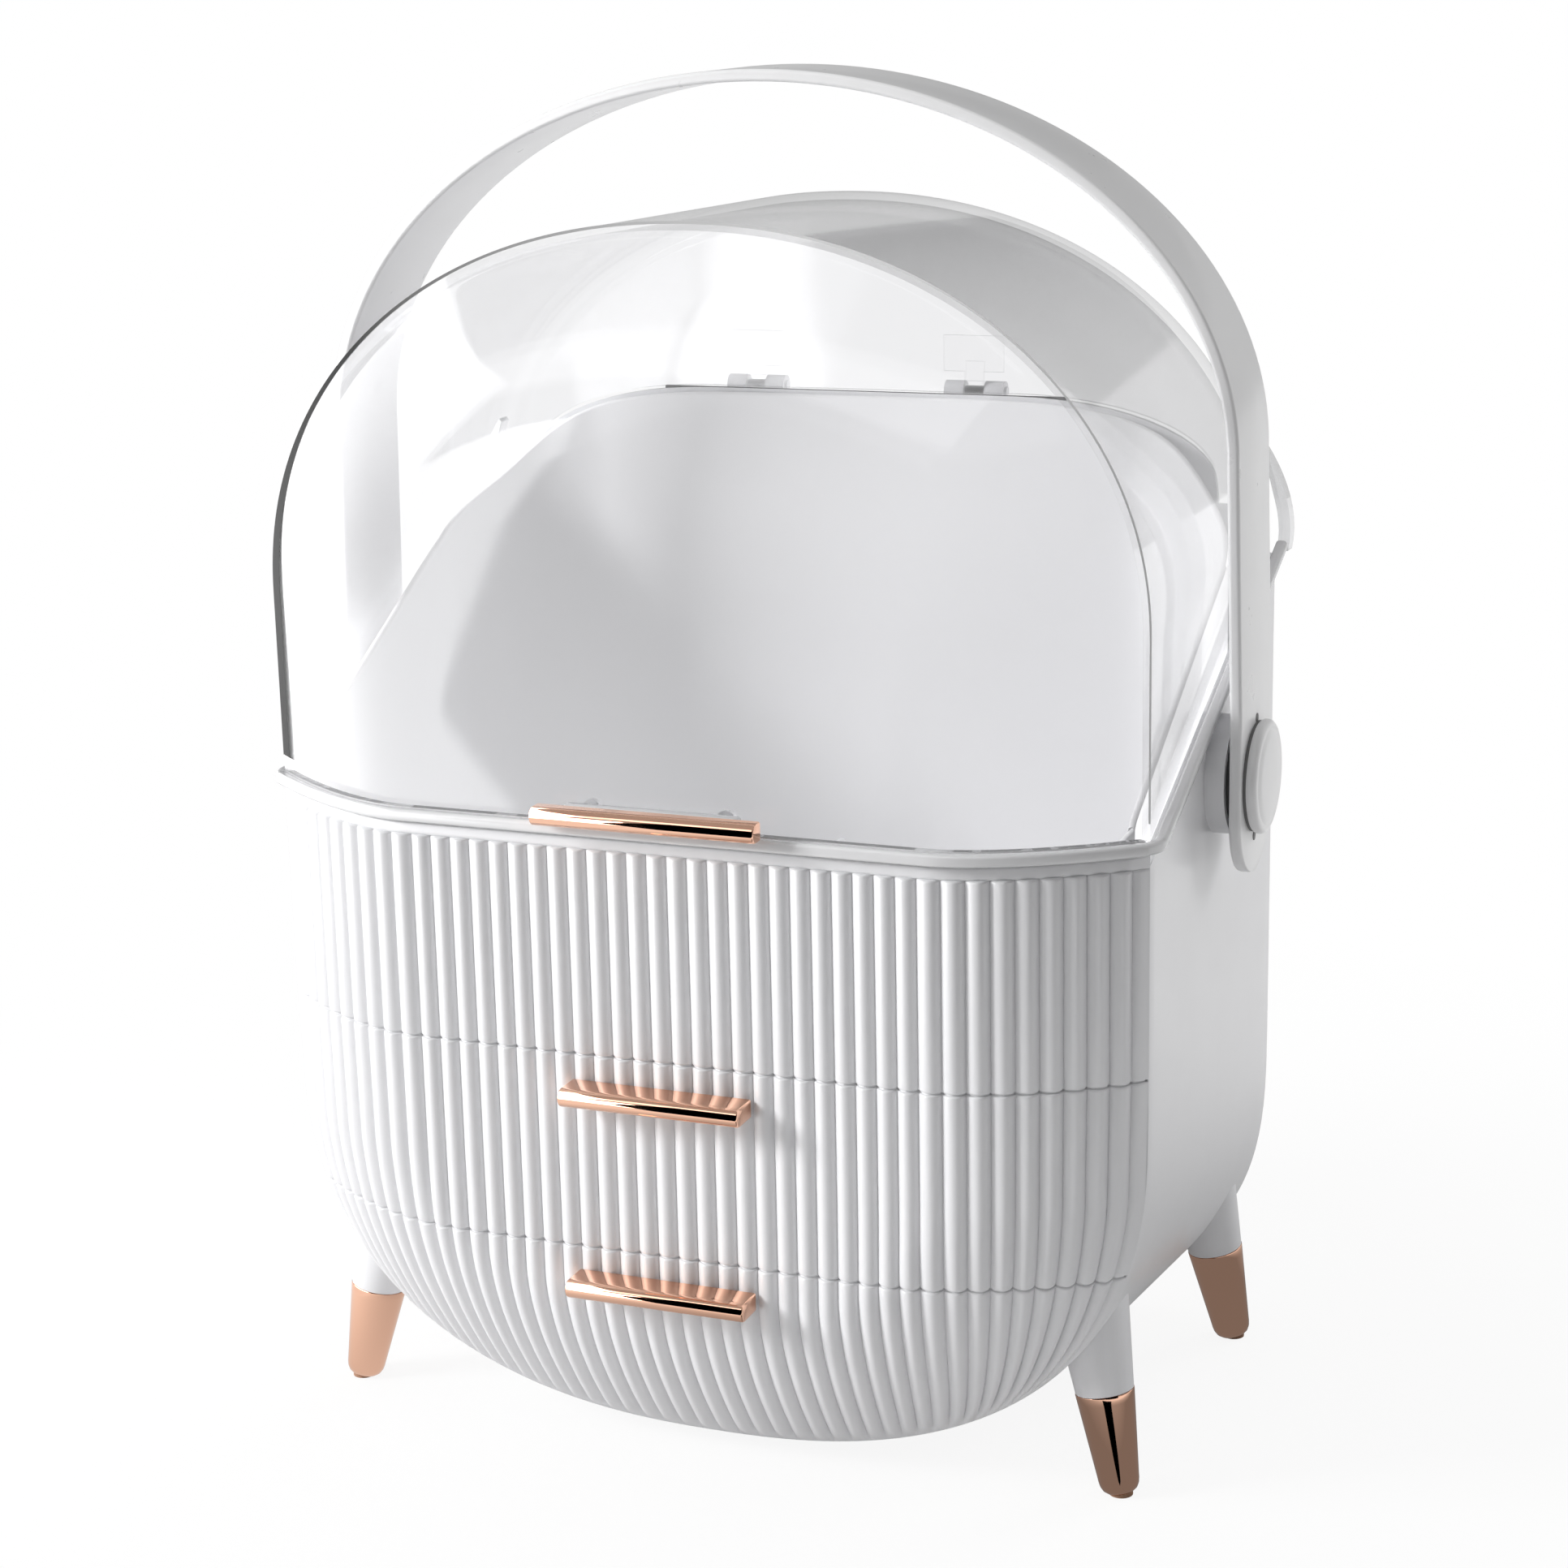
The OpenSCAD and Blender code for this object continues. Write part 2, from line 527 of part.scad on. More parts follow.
function off_plan(g) = [for (i = [-24:24]) let(x = half_w * sin(i * 3.75), n = cap_n(x, 150)) [x + n[0] * g, cap_y(x, 150) + n[1] * g]];
module lid_rim() color([0.9, 0.93, 0.95, 0.6]) {
    difference() {
        union() {
            intersection() {
                translate([0, 0, lid_low_z - rim_t]) linear_extrude(rim_t)
                    polygon(concat(off_plan(rim_out), [for (i = [48:-1:0]) off_plan(-lid_wall)[i]]));
                translate([-200, -200, 0]) cube([400, 200 + crease_y - 0.1, 400]);
            }
            both() translate([half_w + 0.06, crease_y - 2.2, lid_low_z - rim_t]) cube([rim_out - 0.06, 6, rim_t]);
            translate([-tab_half, front_y - tab_t, lid_low_z + 0.05]) cube([2 * tab_half, tab_t - 0.05, tab_h]);
            translate([-tab_half, front_y - rim_out + 0.4, lid_low_z - 0.4]) cube([2 * tab_half, rim_out - 0.5, 1]);
        }
        screw_holes(lid_pull_z, front_y - 20, front_y + 10, screw_r + 0.1);
    }
    both() x_prism(half_w + 0.06, half_w + rim_out) polygon([[crease_y + 2, split_at(crease_y + 2) + 0.6],
        [rear_y, split_at(rear_y) + 0.6], [rear_y, split_at(rear_y) + rim_t + 0.9], [crease_y + 2, split_at(crease_y + 2) + rim_t + 4]]);
}

// the guard behind the corner of the lid: a crescent, widest just above the lid line
band_low = split_at(rear_y) + 0.6;
band_rise = 31.2;
function band_x(s) = half_w + rim_out + 0.6 - 0.6 * pow(max(0, 1 - s * 5), 2) - 8.6 * pow(max(0, (s - 0.2) / 0.8), 1.9);
function band_w(s) = 3.5 - 2.7 * pow(max(0, s * 2 - 1), 1.6);
module rear_band() color([0.9, 0.93, 0.95]) both() y_prism(rear_y + 0.05, rear_y + band_out)
    polygon(concat([for (i = [0:10]) [band_x(i / 10), band_low + band_rise * i / 10]],
        [for (i = [10:-1:0]) [band_x(i / 10) - band_w(i / 10), band_low + (band_rise - 1) * i / 10]]));

module lid_pull() color([0.85, 0.6, 0.48]) difference() {
    pull(lid_pull_len, lid_pull_z, front_y - tab_t - 0.05, lid_pull_reach);
    screw_holes(lid_pull_z, front_y - tab_t - lid_pull_reach * 0.65, front_y, screw_r);
}
module lid_screws() color([0.6, 0.6, 0.62]) for (x = [-screw_x, screw_x]) {
    y_rod(front_y - tab_t - lid_pull_reach * 0.6, front_y + lid_wall + 0.1, x, lid_pull_z, screw_r);
    y_rod(front_y + lid_wall, front_y + lid_wall + 1.6, x, lid_pull_z, 2.8);
}

// hinge: outer knuckles on the case, middle knuckle on the lid
k_gap = 0.25;
leaf_h = 12;
k_third = hinge_half * 2 / 3;
module case_hinge(cx) difference() {
    union() {
        for (x0 = [cx - hinge_half, cx + hinge_half - k_third]) {
            x_rod(x0, x0 + k_third - k_gap, hinge_y, hinge_z, knuckle_r);
            translate([x0, rear_y + 0.05, hinge_z - 9]) cube([k_third - k_gap, hinge_y - rear_y - 0.6, 9]);
        }
        translate([cx - hinge_half, rear_y + 0.05, hinge_z - leaf_h - 4]) cube([2 * hinge_half, 1.6, leaf_h]);
    }
    x_rod(cx - hinge_half - 1, cx + hinge_half + 1, hinge_y, hinge_z, hinge_pin_r + 0.02);
}
module lid_hinge(cx) difference() {
    union() {
        x_rod(cx - k_third / 2 + k_gap, cx + k_third / 2 - k_gap, hinge_y, hinge_z, knuckle_r);
        translate([cx - k_third / 2 + k_gap, rear_y + 0.05, hinge_z]) cube([k_third - 2 * k_gap, hinge_y - rear_y - 0.6, 9]);
        translate([cx - hinge_half, rear_y + 0.05, hinge_z + 6]) cube([2 * hinge_half, 1.6, leaf_h - 1]);
    }
    x_rod(cx - hinge_half - 1, cx + hinge_half + 1, hinge_y, hinge_z, hinge_pin_r + 0.06);
}
module case_hinge_left() color([0.94, 0.94, 0.94]) case_hinge(-hinge_x);
module case_hinge_right() color([0.94, 0.94, 0.94]) case_hinge(hinge_x);
module lid_hinge_left() color([0.9, 0.93, 0.95]) lid_hinge(-hinge_x);
module lid_hinge_right() color([0.9, 0.93, 0.95]) lid_hinge(hinge_x);
module hinge_pins() color([0.7, 0.7, 0.72]) for (cx = [-hinge_x, hinge_x])
    x_rod(cx - hinge_half - 0.4, cx + hinge_half + 0.4, hinge_y, hinge_z, hinge_pin_r);

// carrying strap: half ellipse on straight legs
function arch_pts(a, b) = [for (i = [0:36]) let(q = 180 - i * 5) [a * cos(q), arch_z + b * sin(q)]];
strap_low = pivot_z - strap_tail;
// straight beside the pivot, then leaning in to the arch
flare_z = pivot_z + boss_r + 2;
function strap_side(g) = concat([[-strap_half + g, strap_low], [-strap_half + g, flare_z]], arch_pts(arch_half - g, arch_rise - g),
    [[strap_half - g, flare_z], [strap_half - g, strap_low]]);
module strap_profile() polygon(concat(strap_side(0), [for (i = [40:-1:0]) strap_side(strap_t)[i]]));
module handle_strap() color([0.95, 0.95, 0.95]) difference() {
    intersection() {
        y_prism(pivot_y - strap_w / 2, pivot_y + strap_w / 2) strap_profile();
        union() {
            translate([-200, pivot_y - 40, strap_low + strap_w / 2]) cube([400, 80, 400]);
            x_rod(-200, 200, pivot_y, strap_low + strap_w / 2, strap_w / 2);
        }
    }
    both() x_rod(strap_half - strap_t - 1, strap_half + 1, pivot_y, pivot_z, pivot_r + pivot_clear);
}

boss_out = strap_half - strap_t - strap_air - washer_t;
module pivot_boss() color([0.9, 0.9, 0.88]) difference() {
    x_rod(half_w + 0.02, boss_out, pivot_y, pivot_z, boss_r);
    x_rod(half_w - 1, boss_out + 1, pivot_y, pivot_z, pivot_r + 0.05);
}
module pivot_boss_right() pivot_boss();
module pivot_boss_left() mirror([1, 0, 0]) pivot_boss();
module pivot_washers() color([0.3, 0.3, 0.3]) both() difference() {
    x_rod(boss_out + 0.02, boss_out + washer_t, pivot_y, pivot_z, boss_r - 2);
    x_rod(boss_out - 1, boss_out + washer_t + 1, pivot_y, pivot_z, pivot_r + 0.05);
}
module pivot_pin() color([0.7, 0.7, 0.72]) {
    x_rod(in_half - 1.6, in_half - 0.02, pivot_y, pivot_z, pivot_r + 3);
    x_rod(in_half - 0.1, strap_half + strap_air + 2, pivot_y, pivot_z, pivot_r);
}
module pivot_pin_right() pivot_pin();
module pivot_pin_left() mirror([1, 0, 0]) pivot_pin();
knob_in = strap_half + strap_air;
module knob() color([0.93, 0.93, 0.93]) difference() {
    translate([knob_in, pivot_y, pivot_z]) rotate([90, 0, 90]) rotate_extrude()
        polygon([[0, 0], [knob_r - 0.6, 0], [knob_r, 0.8], [knob_r, knob_t - 2], [knob_r - 2.2, knob_t - 0.5], [0, knob_t]]);
    x_rod(knob_in - 1, strap_half + strap_air + 2.05, pivot_y, pivot_z, pivot_r + 0.02);
}
module knob_right() knob();
module knob_left() mirror([1, 0, 0]) knob();

// legs: white socket blended to the case, metal cap, stud and pad
module leg_axis(x, y, sy) translate([x, y, 0]) rotate([sy * leg_rake, -leg_splay, 0]) children();
module leg_white(x, y, sy) color([0.94, 0.94, 0.94]) difference() {
    leg_axis(x, y, sy) translate([0, 0, leg_cap_h + 0.05]) cylinder(r1 = leg_cap_r - 0.15, r2 = leg_top_r, h = leg_h - leg_cap_h);
    low_body(0, z_hi);
    leg_axis(x, y, sy) translate([0, 0, leg_cap_h - 14]) cylinder(r = stud_r + 0.03, h = 17.2);
    translate([0, case_y - 50, -10]) cube([400, 50, 300]);
}
module leg_cap(x, y, sy) color([0.85, 0.6, 0.48]) difference() {
    leg_axis(x, y, sy) rotate_extrude() polygon([[0, 0], [leg_tip_r - 2.2, 0], [leg_tip_r - 0.6, 1.4],
        [leg_tip_r + 0.1, 4], [leg_cap_r, leg_cap_h], [0, leg_cap_h]]);
    leg_axis(x, y, sy) translate([0, 0, leg_cap_h - 14]) cylinder(r = stud_r + 0.03, h = 17.2);
    translate([x - 20, y - 20, -5]) cube([40, 40, 5.3]);
    translate([x, y, -1]) cylinder(r = pad_r + 0.03, h = 3.2);
}
module leg_stud(x, y, sy) color([0.6, 0.6, 0.62])
    leg_axis(x, y, sy) translate([0, 0, leg_cap_h - 13.9]) cylinder(r = stud_r, h = 16.9);
module leg_socket_fr() leg_white(leg_x, leg_front_y, -1);
module leg_socket_fl() mirror([1, 0, 0]) leg_white(leg_x, leg_front_y, -1);
module leg_socket_rr() leg_white(leg_rear_x, leg_rear_y, 1);
module leg_socket_rl() mirror([1, 0, 0]) leg_white(leg_rear_x, leg_rear_y, 1);
module leg_cap_fr() leg_cap(leg_x, leg_front_y, -1);
module leg_cap_fl() mirror([1, 0, 0]) leg_cap(leg_x, leg_front_y, -1);
module leg_cap_rr() leg_cap(leg_rear_x, leg_rear_y, 1);
module leg_cap_rl() mirror([1, 0, 0]) leg_cap(leg_rear_x, leg_rear_y, 1);
module leg_studs() both() { leg_stud(leg_x, leg_front_y, -1); leg_stud(leg_rear_x, leg_rear_y, 1); }
module foot_pads() color([0.2, 0.2, 0.2]) both() for (p = [[leg_x, leg_front_y], [leg_rear_x, leg_rear_y]])
    translate([p[0], p[1], 0]) cylinder(r = pad_r, h = 2.1);

housing();
upper_shelf();
lower_shelf();
drawer_rails();
top_bin();
bin_divider();
front_panel();
drawer_1_front();
drawer_1_box();
drawer_1_pull();
drawer_1_screws();
drawer_2_front();
drawer_2_box();
drawer_2_pull();
drawer_2_screws();
lid_cover();
lid_rim();
rear_band();
lid_pull();
lid_screws();
lid_hinge_left();
lid_hinge_right();
case_hinge_left();
case_hinge_right();
hinge_pins();
handle_strap();
pivot_boss_right();
pivot_boss_left();
pivot_washers();
pivot_pin_right();
pivot_pin_left();
knob_right();
knob_left();
leg_socket_fr();
leg_socket_fl();
leg_socket_rr();
leg_socket_rl();
leg_cap_fr();
leg_cap_fl();
leg_cap_rr();
leg_cap_rl();
leg_studs();
foot_pads();
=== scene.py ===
"""Looks of the dustproof makeup organizer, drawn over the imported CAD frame.

Lengths are in millimetres, in the frame of the source, until piece() writes them in metres:
+Z up, the front faces -Y, +X is the viewer's right, and the floor is z = 0.
"""
import math
import bmesh
import bpy
import numpy as np
from mathutils import Matrix, Vector


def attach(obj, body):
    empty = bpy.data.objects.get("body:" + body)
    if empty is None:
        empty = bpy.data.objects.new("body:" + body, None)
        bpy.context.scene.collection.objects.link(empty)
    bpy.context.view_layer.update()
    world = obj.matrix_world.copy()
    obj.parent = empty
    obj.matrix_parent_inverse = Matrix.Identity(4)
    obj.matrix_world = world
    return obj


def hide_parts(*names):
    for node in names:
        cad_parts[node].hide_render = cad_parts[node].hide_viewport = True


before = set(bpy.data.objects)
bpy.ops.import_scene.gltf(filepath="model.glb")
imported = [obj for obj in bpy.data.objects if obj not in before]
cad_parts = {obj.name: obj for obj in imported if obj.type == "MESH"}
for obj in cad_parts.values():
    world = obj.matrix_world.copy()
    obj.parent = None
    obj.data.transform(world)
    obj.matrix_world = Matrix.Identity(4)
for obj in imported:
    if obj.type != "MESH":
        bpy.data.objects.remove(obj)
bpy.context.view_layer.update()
MM = 0.001

# ---------------------------------------------------------------- sizes, as in the source
HALF = 131.0                                # half width of the case
FRONT, REAR, WALL = -79.7, 86.3, 2.6        # front and rear faces, thickness of the walls
CAPD, BLEND, CAP_POWER = 27.4, 53.0, 1.64   # the rounded front: depth, reach inwards, power
CREASE = FRONT + CAPD                       # where the rounded front meets the straight sides
BELLY, ZLO, ZHI, TOP = 4.4, 111.0, 248.0, 355.0   # the egg outline, upright from ZLO to ZHI
BLO, BHI, NLO, NHI = ZLO - BELLY, TOP - ZHI, 2.4, 2.1   # heights and powers of its two curves
REAR_ZLO, REAR_BLO, NREAR = 99.0, 96.5, 3.1       # its lower curve at the rear face
SEAM1, SEAM2, SEAMH = 127.5, 70.0, 0.3      # seams over the drawers, half their width
RIBTOP, SILL = 187.0, 190.6
PITCH, RIBH = 6.0, 2.0                      # ribs
FLAT_T, CORNER_T = 12.5, 9.8                # ribs from the middle to the corner, and round it
TEND = FLAT_T + CORNER_T
CROWD = 0.1                                 # how fast the ribs crowd together round the corner
LIDLOW, LIDW = 194.6, 2.4                   # lower edge and wall of the lid
PIVY, PIVZ = 19.9, 195.4                    # pivot of the strap
SPLIT_Z, SPLIT_SLOPE = 187.4, 0.43          # upper edge of the sides, at the crease and its rise
SHX, SHF, SHZ, PTOP = 112.0, 50.0, 267.0, 290.6   # shoulders of the back panel, and its top
MIDZ = 150.0                                # any height where the sides are upright
AROUND = 72                                 # points round a turned piece


def split(y):
    """height of the upper edge of the sides"""
    return SPLIT_Z + SPLIT_SLOPE * (y - CREASE)


def level(x, z):
    """1 on the egg outline, less inside"""
    x, z = np.abs(np.asarray(x, float)), np.asarray(z, float)
    lo, hi = z < ZLO, z > ZHI
    n = np.where(lo, NLO, NHI)
    q = np.where(lo, (ZLO - z) / BLO, np.where(hi, (z - ZHI) / BHI, 0.0))
    return ((x / HALF) ** n + q ** n) ** (1 / n)


def inset(x, z):
    """distance in from the egg outline, first order, and the outward direction"""
    x, z = np.asarray(x, float), np.asarray(z, float)
    e = 1e-3
    f = level(x, z)
    gx = (level(x + e, z) - level(x - e, z)) / (2 * e)
    gz = (level(x, z + e) - level(x, z - e)) / (2 * e)
    g = np.maximum(np.hypot(gx, gz), 1e-6)
    return (1 - f) / g, gx / g, gz / g


def cap(x, z):
    """the rounded front: y, outward normal, distance in from the outline, 1 to 0 over the reach"""
    d, gx, gz = inset(x, z)
    k = np.clip(1 - np.clip(d, 0, None) / BLEND, 0, 1)
    y = FRONT + CAPD * k ** CAP_POWER
    s = CAPD * CAP_POWER / BLEND * k ** (CAP_POWER - 1)
    n = np.stack([gx * s, -np.ones_like(s), gz * s], -1)
    return y, n / np.linalg.norm(n, axis=-1, keepdims=True), d, k


def edge_x(z):
    """half width of the egg outline at a height"""
    q = np.clip((ZLO - np.asarray(z, float)) / BLO, 0, 1)
    return HALF * (1 - q ** NLO) ** (1 / NLO)


def rib_x(t):
    """x of rib number t, counted from the middle"""
    a = np.abs(t)
    k = a - FLAT_T
    first = (HALF - FLAT_T * PITCH) / CORNER_T + CROWD * CORNER_T
    corner = np.minimum(HALF, FLAT_T * PITCH + k * (first - CROWD * k))
    return np.sign(t) * np.where(a <= FLAT_T, a * PITCH, corner)


# ---------------------------------------------------------------- materials
def nodes_of(name):
    m = bpy.data.materials.new(name)
    m.use_nodes = True
    return m, m.node_tree, m.node_tree.nodes["Principled BSDF"]


def put(n, **values):
    """sets a node's plain inputs; an underscore in a name stands for a space"""
    for key, value in values.items():
        n.inputs[key.replace("_", " ")].default_value = value
    return n


def add(nt, kind, operation=None, **values):
    """a new shader node with its plain inputs set"""
    n = nt.nodes.new("ShaderNode" + kind)
    if operation:
        n.operation = operation
    return put(n, **values)


def noise(nt, scale, detail, rough=0.5):
    tc = add(nt, "TexCoord")
    n = add(nt, "TexNoise", Scale=scale, Detail=detail, Roughness=rough)
    nt.links.new(tc.outputs["Object"], n.inputs["Vector"])
    return n.outputs["Fac"]


def ramp(nt, src, lo, hi, a, b):
    r = add(nt, "MapRange", From_Min=lo, From_Max=hi, To_Min=a, To_Max=b)
    nt.links.new(src, r.inputs["Value"])
    return r.outputs["Result"]


def tint(nt, src, a, b):
    m = add(nt, "Mix")
    m.data_type = "RGBA"
    m.inputs[6].default_value = (*a, 1)
    m.inputs[7].default_value = (*b, 1)
    nt.links.new(src, m.inputs[0])
    return m.outputs[2]


def place(nt):
    """the x, y and z of the point that is shaded, in metres"""
    tc = add(nt, "TexCoord")
    sep = add(nt, "SeparateXYZ")
    nt.links.new(tc.outputs["Object"], sep.inputs[0])
    return sep.outputs


def blend_out(nt, fac, first, second, out="Material Output"):
    """mixes two shaders by fac into the output"""
    mx = add(nt, "MixShader")
    nt.links.new(fac, mx.inputs["Fac"])
    nt.links.new(first.outputs[0], mx.inputs[1])
    nt.links.new(second.outputs[0], mx.inputs[2])
    nt.links.new(mx.outputs[0], nt.nodes[out].inputs["Surface"])


def greater(nt, a, b):
    m = add(nt, "Math", "MAXIMUM")
    nt.links.new(a, m.inputs[0])
    nt.links.new(b, m.inputs[1])
    return m.outputs[0]


def plastic(name, col, rough, coat, grain=0.02):
    m, nt, b = nodes_of(name)
    put(b, Coat_Weight=coat, Coat_Roughness=0.12, IOR=1.49)
    shade = tint(nt, noise(nt, 9.0, 3.0), col, tuple(c * 0.975 for c in col))
    nt.links.new(shade, b.inputs["Base Color"])
    uneven = ramp(nt, noise(nt, 60.0, 5.0, 0.6), 0.3, 0.7, rough * 0.88, rough * 1.15)
    nt.links.new(uneven, b.inputs["Roughness"])
    bump = add(nt, "Bump", Strength=grain, Distance=0.0004)
    nt.links.new(noise(nt, 1400.0, 2.0), bump.inputs["Height"])
    nt.links.new(bump.outputs["Normal"], b.inputs["Normal"])
    return m


def metal(name, col, col2, rough):
    m, nt, b = nodes_of(name)
    put(b, Metallic=1.0)
    nt.links.new(tint(nt, noise(nt, 35.0, 4.0), col, col2), b.inputs["Base Color"])
    uneven = ramp(nt, noise(nt, 220.0, 4.0), 0.3, 0.7, rough * 0.7, rough * 1.3)
    nt.links.new(uneven, b.inputs["Roughness"])
    return m


def clear(name, through, veil, gain, rough):
    """thin clear plastic: see-through, with a reflection that grows towards grazing views"""
    m, nt, b = nodes_of(name)
    put(b, Roughness=rough, Metallic=0.65, Coat_Weight=0.3)
    shade = tint(nt, noise(nt, 5.0, 2.0), (0.90, 0.90, 0.905), (0.87, 0.87, 0.875))
    nt.links.new(shade, b.inputs["Base Color"])
    lw = add(nt, "LayerWeight", Blend=0.5)
    steep = add(nt, "Math", "POWER")
    steep.inputs[1].default_value = 3.2
    nt.links.new(lw.outputs["Facing"], steep.inputs[0])
    fac = ramp(nt, steep.outputs[0], 0.0, 1.0, veil, veil + gain)
    blend_out(nt, fac, add(nt, "BsdfTransparent", Color=(*through, 1)), b)
    return m


def fold_painted_shade(name):
    """painted shade along the fold of the lid, which is seen edge-on: darkest on the left, fading
    out forwards
    """
    m, nt, b = nodes_of(name)
    put(b, Roughness=0.5, Specular_IOR_Level=0.05)
    xyz = place(nt)
    far = ramp(nt, xyz["X"], -0.10, 0.07, 0.0, 1.0)
    nt.links.new(tint(nt, far, (0.01,) * 3, (0.82, 0.82, 0.825)), b.inputs["Base Color"])
    soft = ramp(nt, xyz["Y"], (CREASE - 6.1) * MM, (CREASE - 3.0) * MM, 0.0, 0.97)
    nt.links.new(soft, b.inputs["Alpha"])
    return m


def edged(mat, face, edge):
    """clear plastic gets darker where it is seen edge-on"""
    nt = mat.node_tree
    lw = add(nt, "LayerWeight", Blend=0.5)
    fac = ramp(nt, lw.outputs["Facing"], 0.35, 0.95, 0.0, 1.0)
    nt.links.new(tint(nt, fac, face, edge), nt.nodes["Principled BSDF"].inputs["Base Color"])
    return mat


def painted_glow(mat, left, right):
    """painted light: an emission that lifts the deep inside, as the light that the clear lid
    spreads does; the left is shaded
    """
    nt = mat.node_tree
    b = put(nt.nodes["Principled BSDF"], Emission_Color=(1, 1, 1, 1))
    nt.links.new(ramp(nt, place(nt)["X"], -0.10, 0.08, left, right), b.inputs["Emission Strength"])
    return mat


SHELL = plastic("shell_white", (0.80, 0.80, 0.815), 0.32, 0.2)
STRAP = plastic("strap_white", (0.80, 0.80, 0.805), 0.30, 0.2)
# painted light: the inner plastic glows, more on the left, where it is shaded
INNER_PAINTED_LIGHT = painted_glow(plastic("inner_white", (0.78, 0.78, 0.79), 0.40, 0.05), 0.19, 0.07)
# painted light: a lighter copy of the inner plastic with a strong glow, for the outer sides of the
# liner
LINER_SIDE_PAINTED_LIGHT = painted_glow(plastic("inner_side_painted_light", (0.88, 0.88, 0.885), 0.40, 0.05), 0.7, 0.7)
BAND = clear("clear_band", (0.90, 0.90, 0.905), 0.22, 0.6, 0.15)
CLEAR = clear("clear_lid", (0.985, 0.985, 0.988), 0.035, 0.75, 0.06)
LEAF = clear("clear_leaf", (0.998, 0.998, 0.998), 0.008, 0.5, 0.06)
# painted shade along the fold of the lid
FOLD_SHADE = fold_painted_shade("clear_edge_painted_shade")
RIM = edged(plastic("clear_rim", (0.76, 0.76, 0.77), 0.18, 0.5),
            (0.74, 0.74, 0.75), (0.46, 0.46, 0.47))
ROSE = metal("rose_gold", (0.95, 0.58, 0.42), (0.93, 0.55, 0.39), 0.055)
STEEL = metal("steel", (0.90, 0.90, 0.91), (0.86, 0.86, 0.87), 0.35)
# painted shade: near black for the gaps round the knobs and on the back panel
GAP_SHADE = plastic("knob_gap_shade", (0.16, 0.16, 0.16), 0.5, 0.0)
# painted shade: the washers behind the strap are near black for the shadowed gap between strap and
# case
WASHER_SHADE = plastic("washer_dark", (0.05, 0.05, 0.05), 0.5, 0.0)
PAD = plastic("pad_rubber", (0.34, 0.19, 0.12), 0.7, 0.0, grain=0.3)

for mat, names in (
        (SHELL, "housing front_panel drawer_1_front drawer_2_front pivot_boss_right "
                "pivot_boss_left leg_socket_fr leg_socket_fl leg_socket_rr leg_socket_rl"),
        (INNER_PAINTED_LIGHT, "upper_shelf lower_shelf drawer_rails bin_divider drawer_1_box drawer_2_box "
                "hinge_pins case_hinge_left case_hinge_right top_bin"),
        (STEEL, "drawer_1_screws drawer_2_screws lid_screws pivot_pin_right pivot_pin_left "
                "leg_studs"),
        (ROSE, "lid_pull drawer_1_pull drawer_2_pull leg_cap_fr leg_cap_fl leg_cap_rr "
               "leg_cap_rl"),
        (STRAP, "handle_strap knob_right knob_left"), (LEAF, "lid_hinge_left lid_hinge_right"),
        (CLEAR, "lid_cover"), (RIM, "lid_rim"), (BAND, "rear_band"), (WASHER_SHADE, "pivot_washers"),
        (PAD, "foot_pads")):
    for node in names.split():
        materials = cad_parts[node].data.materials
        materials.clear()
        materials.append(mat)


# ---------------------------------------------------------------- mesh helpers
def piece(name, verts, faces, mat, body, slot, replaces=(), sharp=40):
    """a smooth mesh in millimetres that rides on a body; edges over the angle sharp stay sharp"""
    me = bpy.data.meshes.new(name)
    faces = [tuple(int(i) for i in f) for f in faces]
    me.from_pydata((np.asarray(verts, float) * MM).tolist(), [], faces)
    me.validate()
    o = bpy.data.objects.new(name, me)
    bpy.context.scene.collection.objects.link(o)
    me.materials.append(mat)
    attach(o, body)
    if replaces:
        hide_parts(*replaces)
    bm = bmesh.new()
    bm.from_mesh(me)
    bmesh.ops.remove_doubles(bm, verts=bm.verts, dist=1e-6)
    bmesh.ops.recalc_face_normals(bm, faces=bm.faces)
    bm.to_mesh(me)
    bm.free()
    me.shade_smooth()
    me.set_sharp_from_angle(angle=math.radians(sharp))
    return o


def quads(nr, nc, off=0, close=False, flip=False):
    """faces between nr rows of nc points; close joins the last point of a row to its first"""
    out = []
    for i in range(nr - 1):
        for j in range(nc if close else nc - 1):
            a, b = off + i * nc + j, off + i * nc + (j + 1) % nc
            c, d = a + nc, b + nc
            out.append((a, b, d, c) if flip else (a, c, d, b))
    return out


def tube(n, k):
    """faces of a closed tube: n rings of k points, and both ends"""
    ends = [tuple(range(k)), tuple(reversed(range((n - 1) * k, n * k)))]
    return quads(n, k, close=True) + ends


def shell(outer, inner):
    """closed shell from two grids, rows x columns x 3"""
    nr, nc = outer.shape[:2]
    m, last = nr * nc, (nr - 1) * nc
    v = np.concatenate([outer.reshape(-1, 3), inner.reshape(-1, 3)])
    f = quads(nr, nc) + quads(nr, nc, m, flip=True)
    for j in range(nc - 1):
        f.append((j, j + 1, m + j + 1, m + j))
        f.append((last + j, m + last + j, m + last + j + 1, last + j + 1))
    for a in range(0, last, nc):
        b = a + nc
        f.append((a, m + a, m + b, b))
        a, b = a + nc - 1, b + nc - 1
        f.append((a, b, m + b, m + a))
    return v, f


def sweep(path, outs, ups, section):
    """a closed section of (out, up) pairs carried along a path"""
    v = (path[:, None, :] + section[None, :, 0, None] * outs[:, None, :]
         + section[None, :, 1, None] * ups[:, None, :])
    return v.reshape(-1, 3), tube(len(path), len(section))


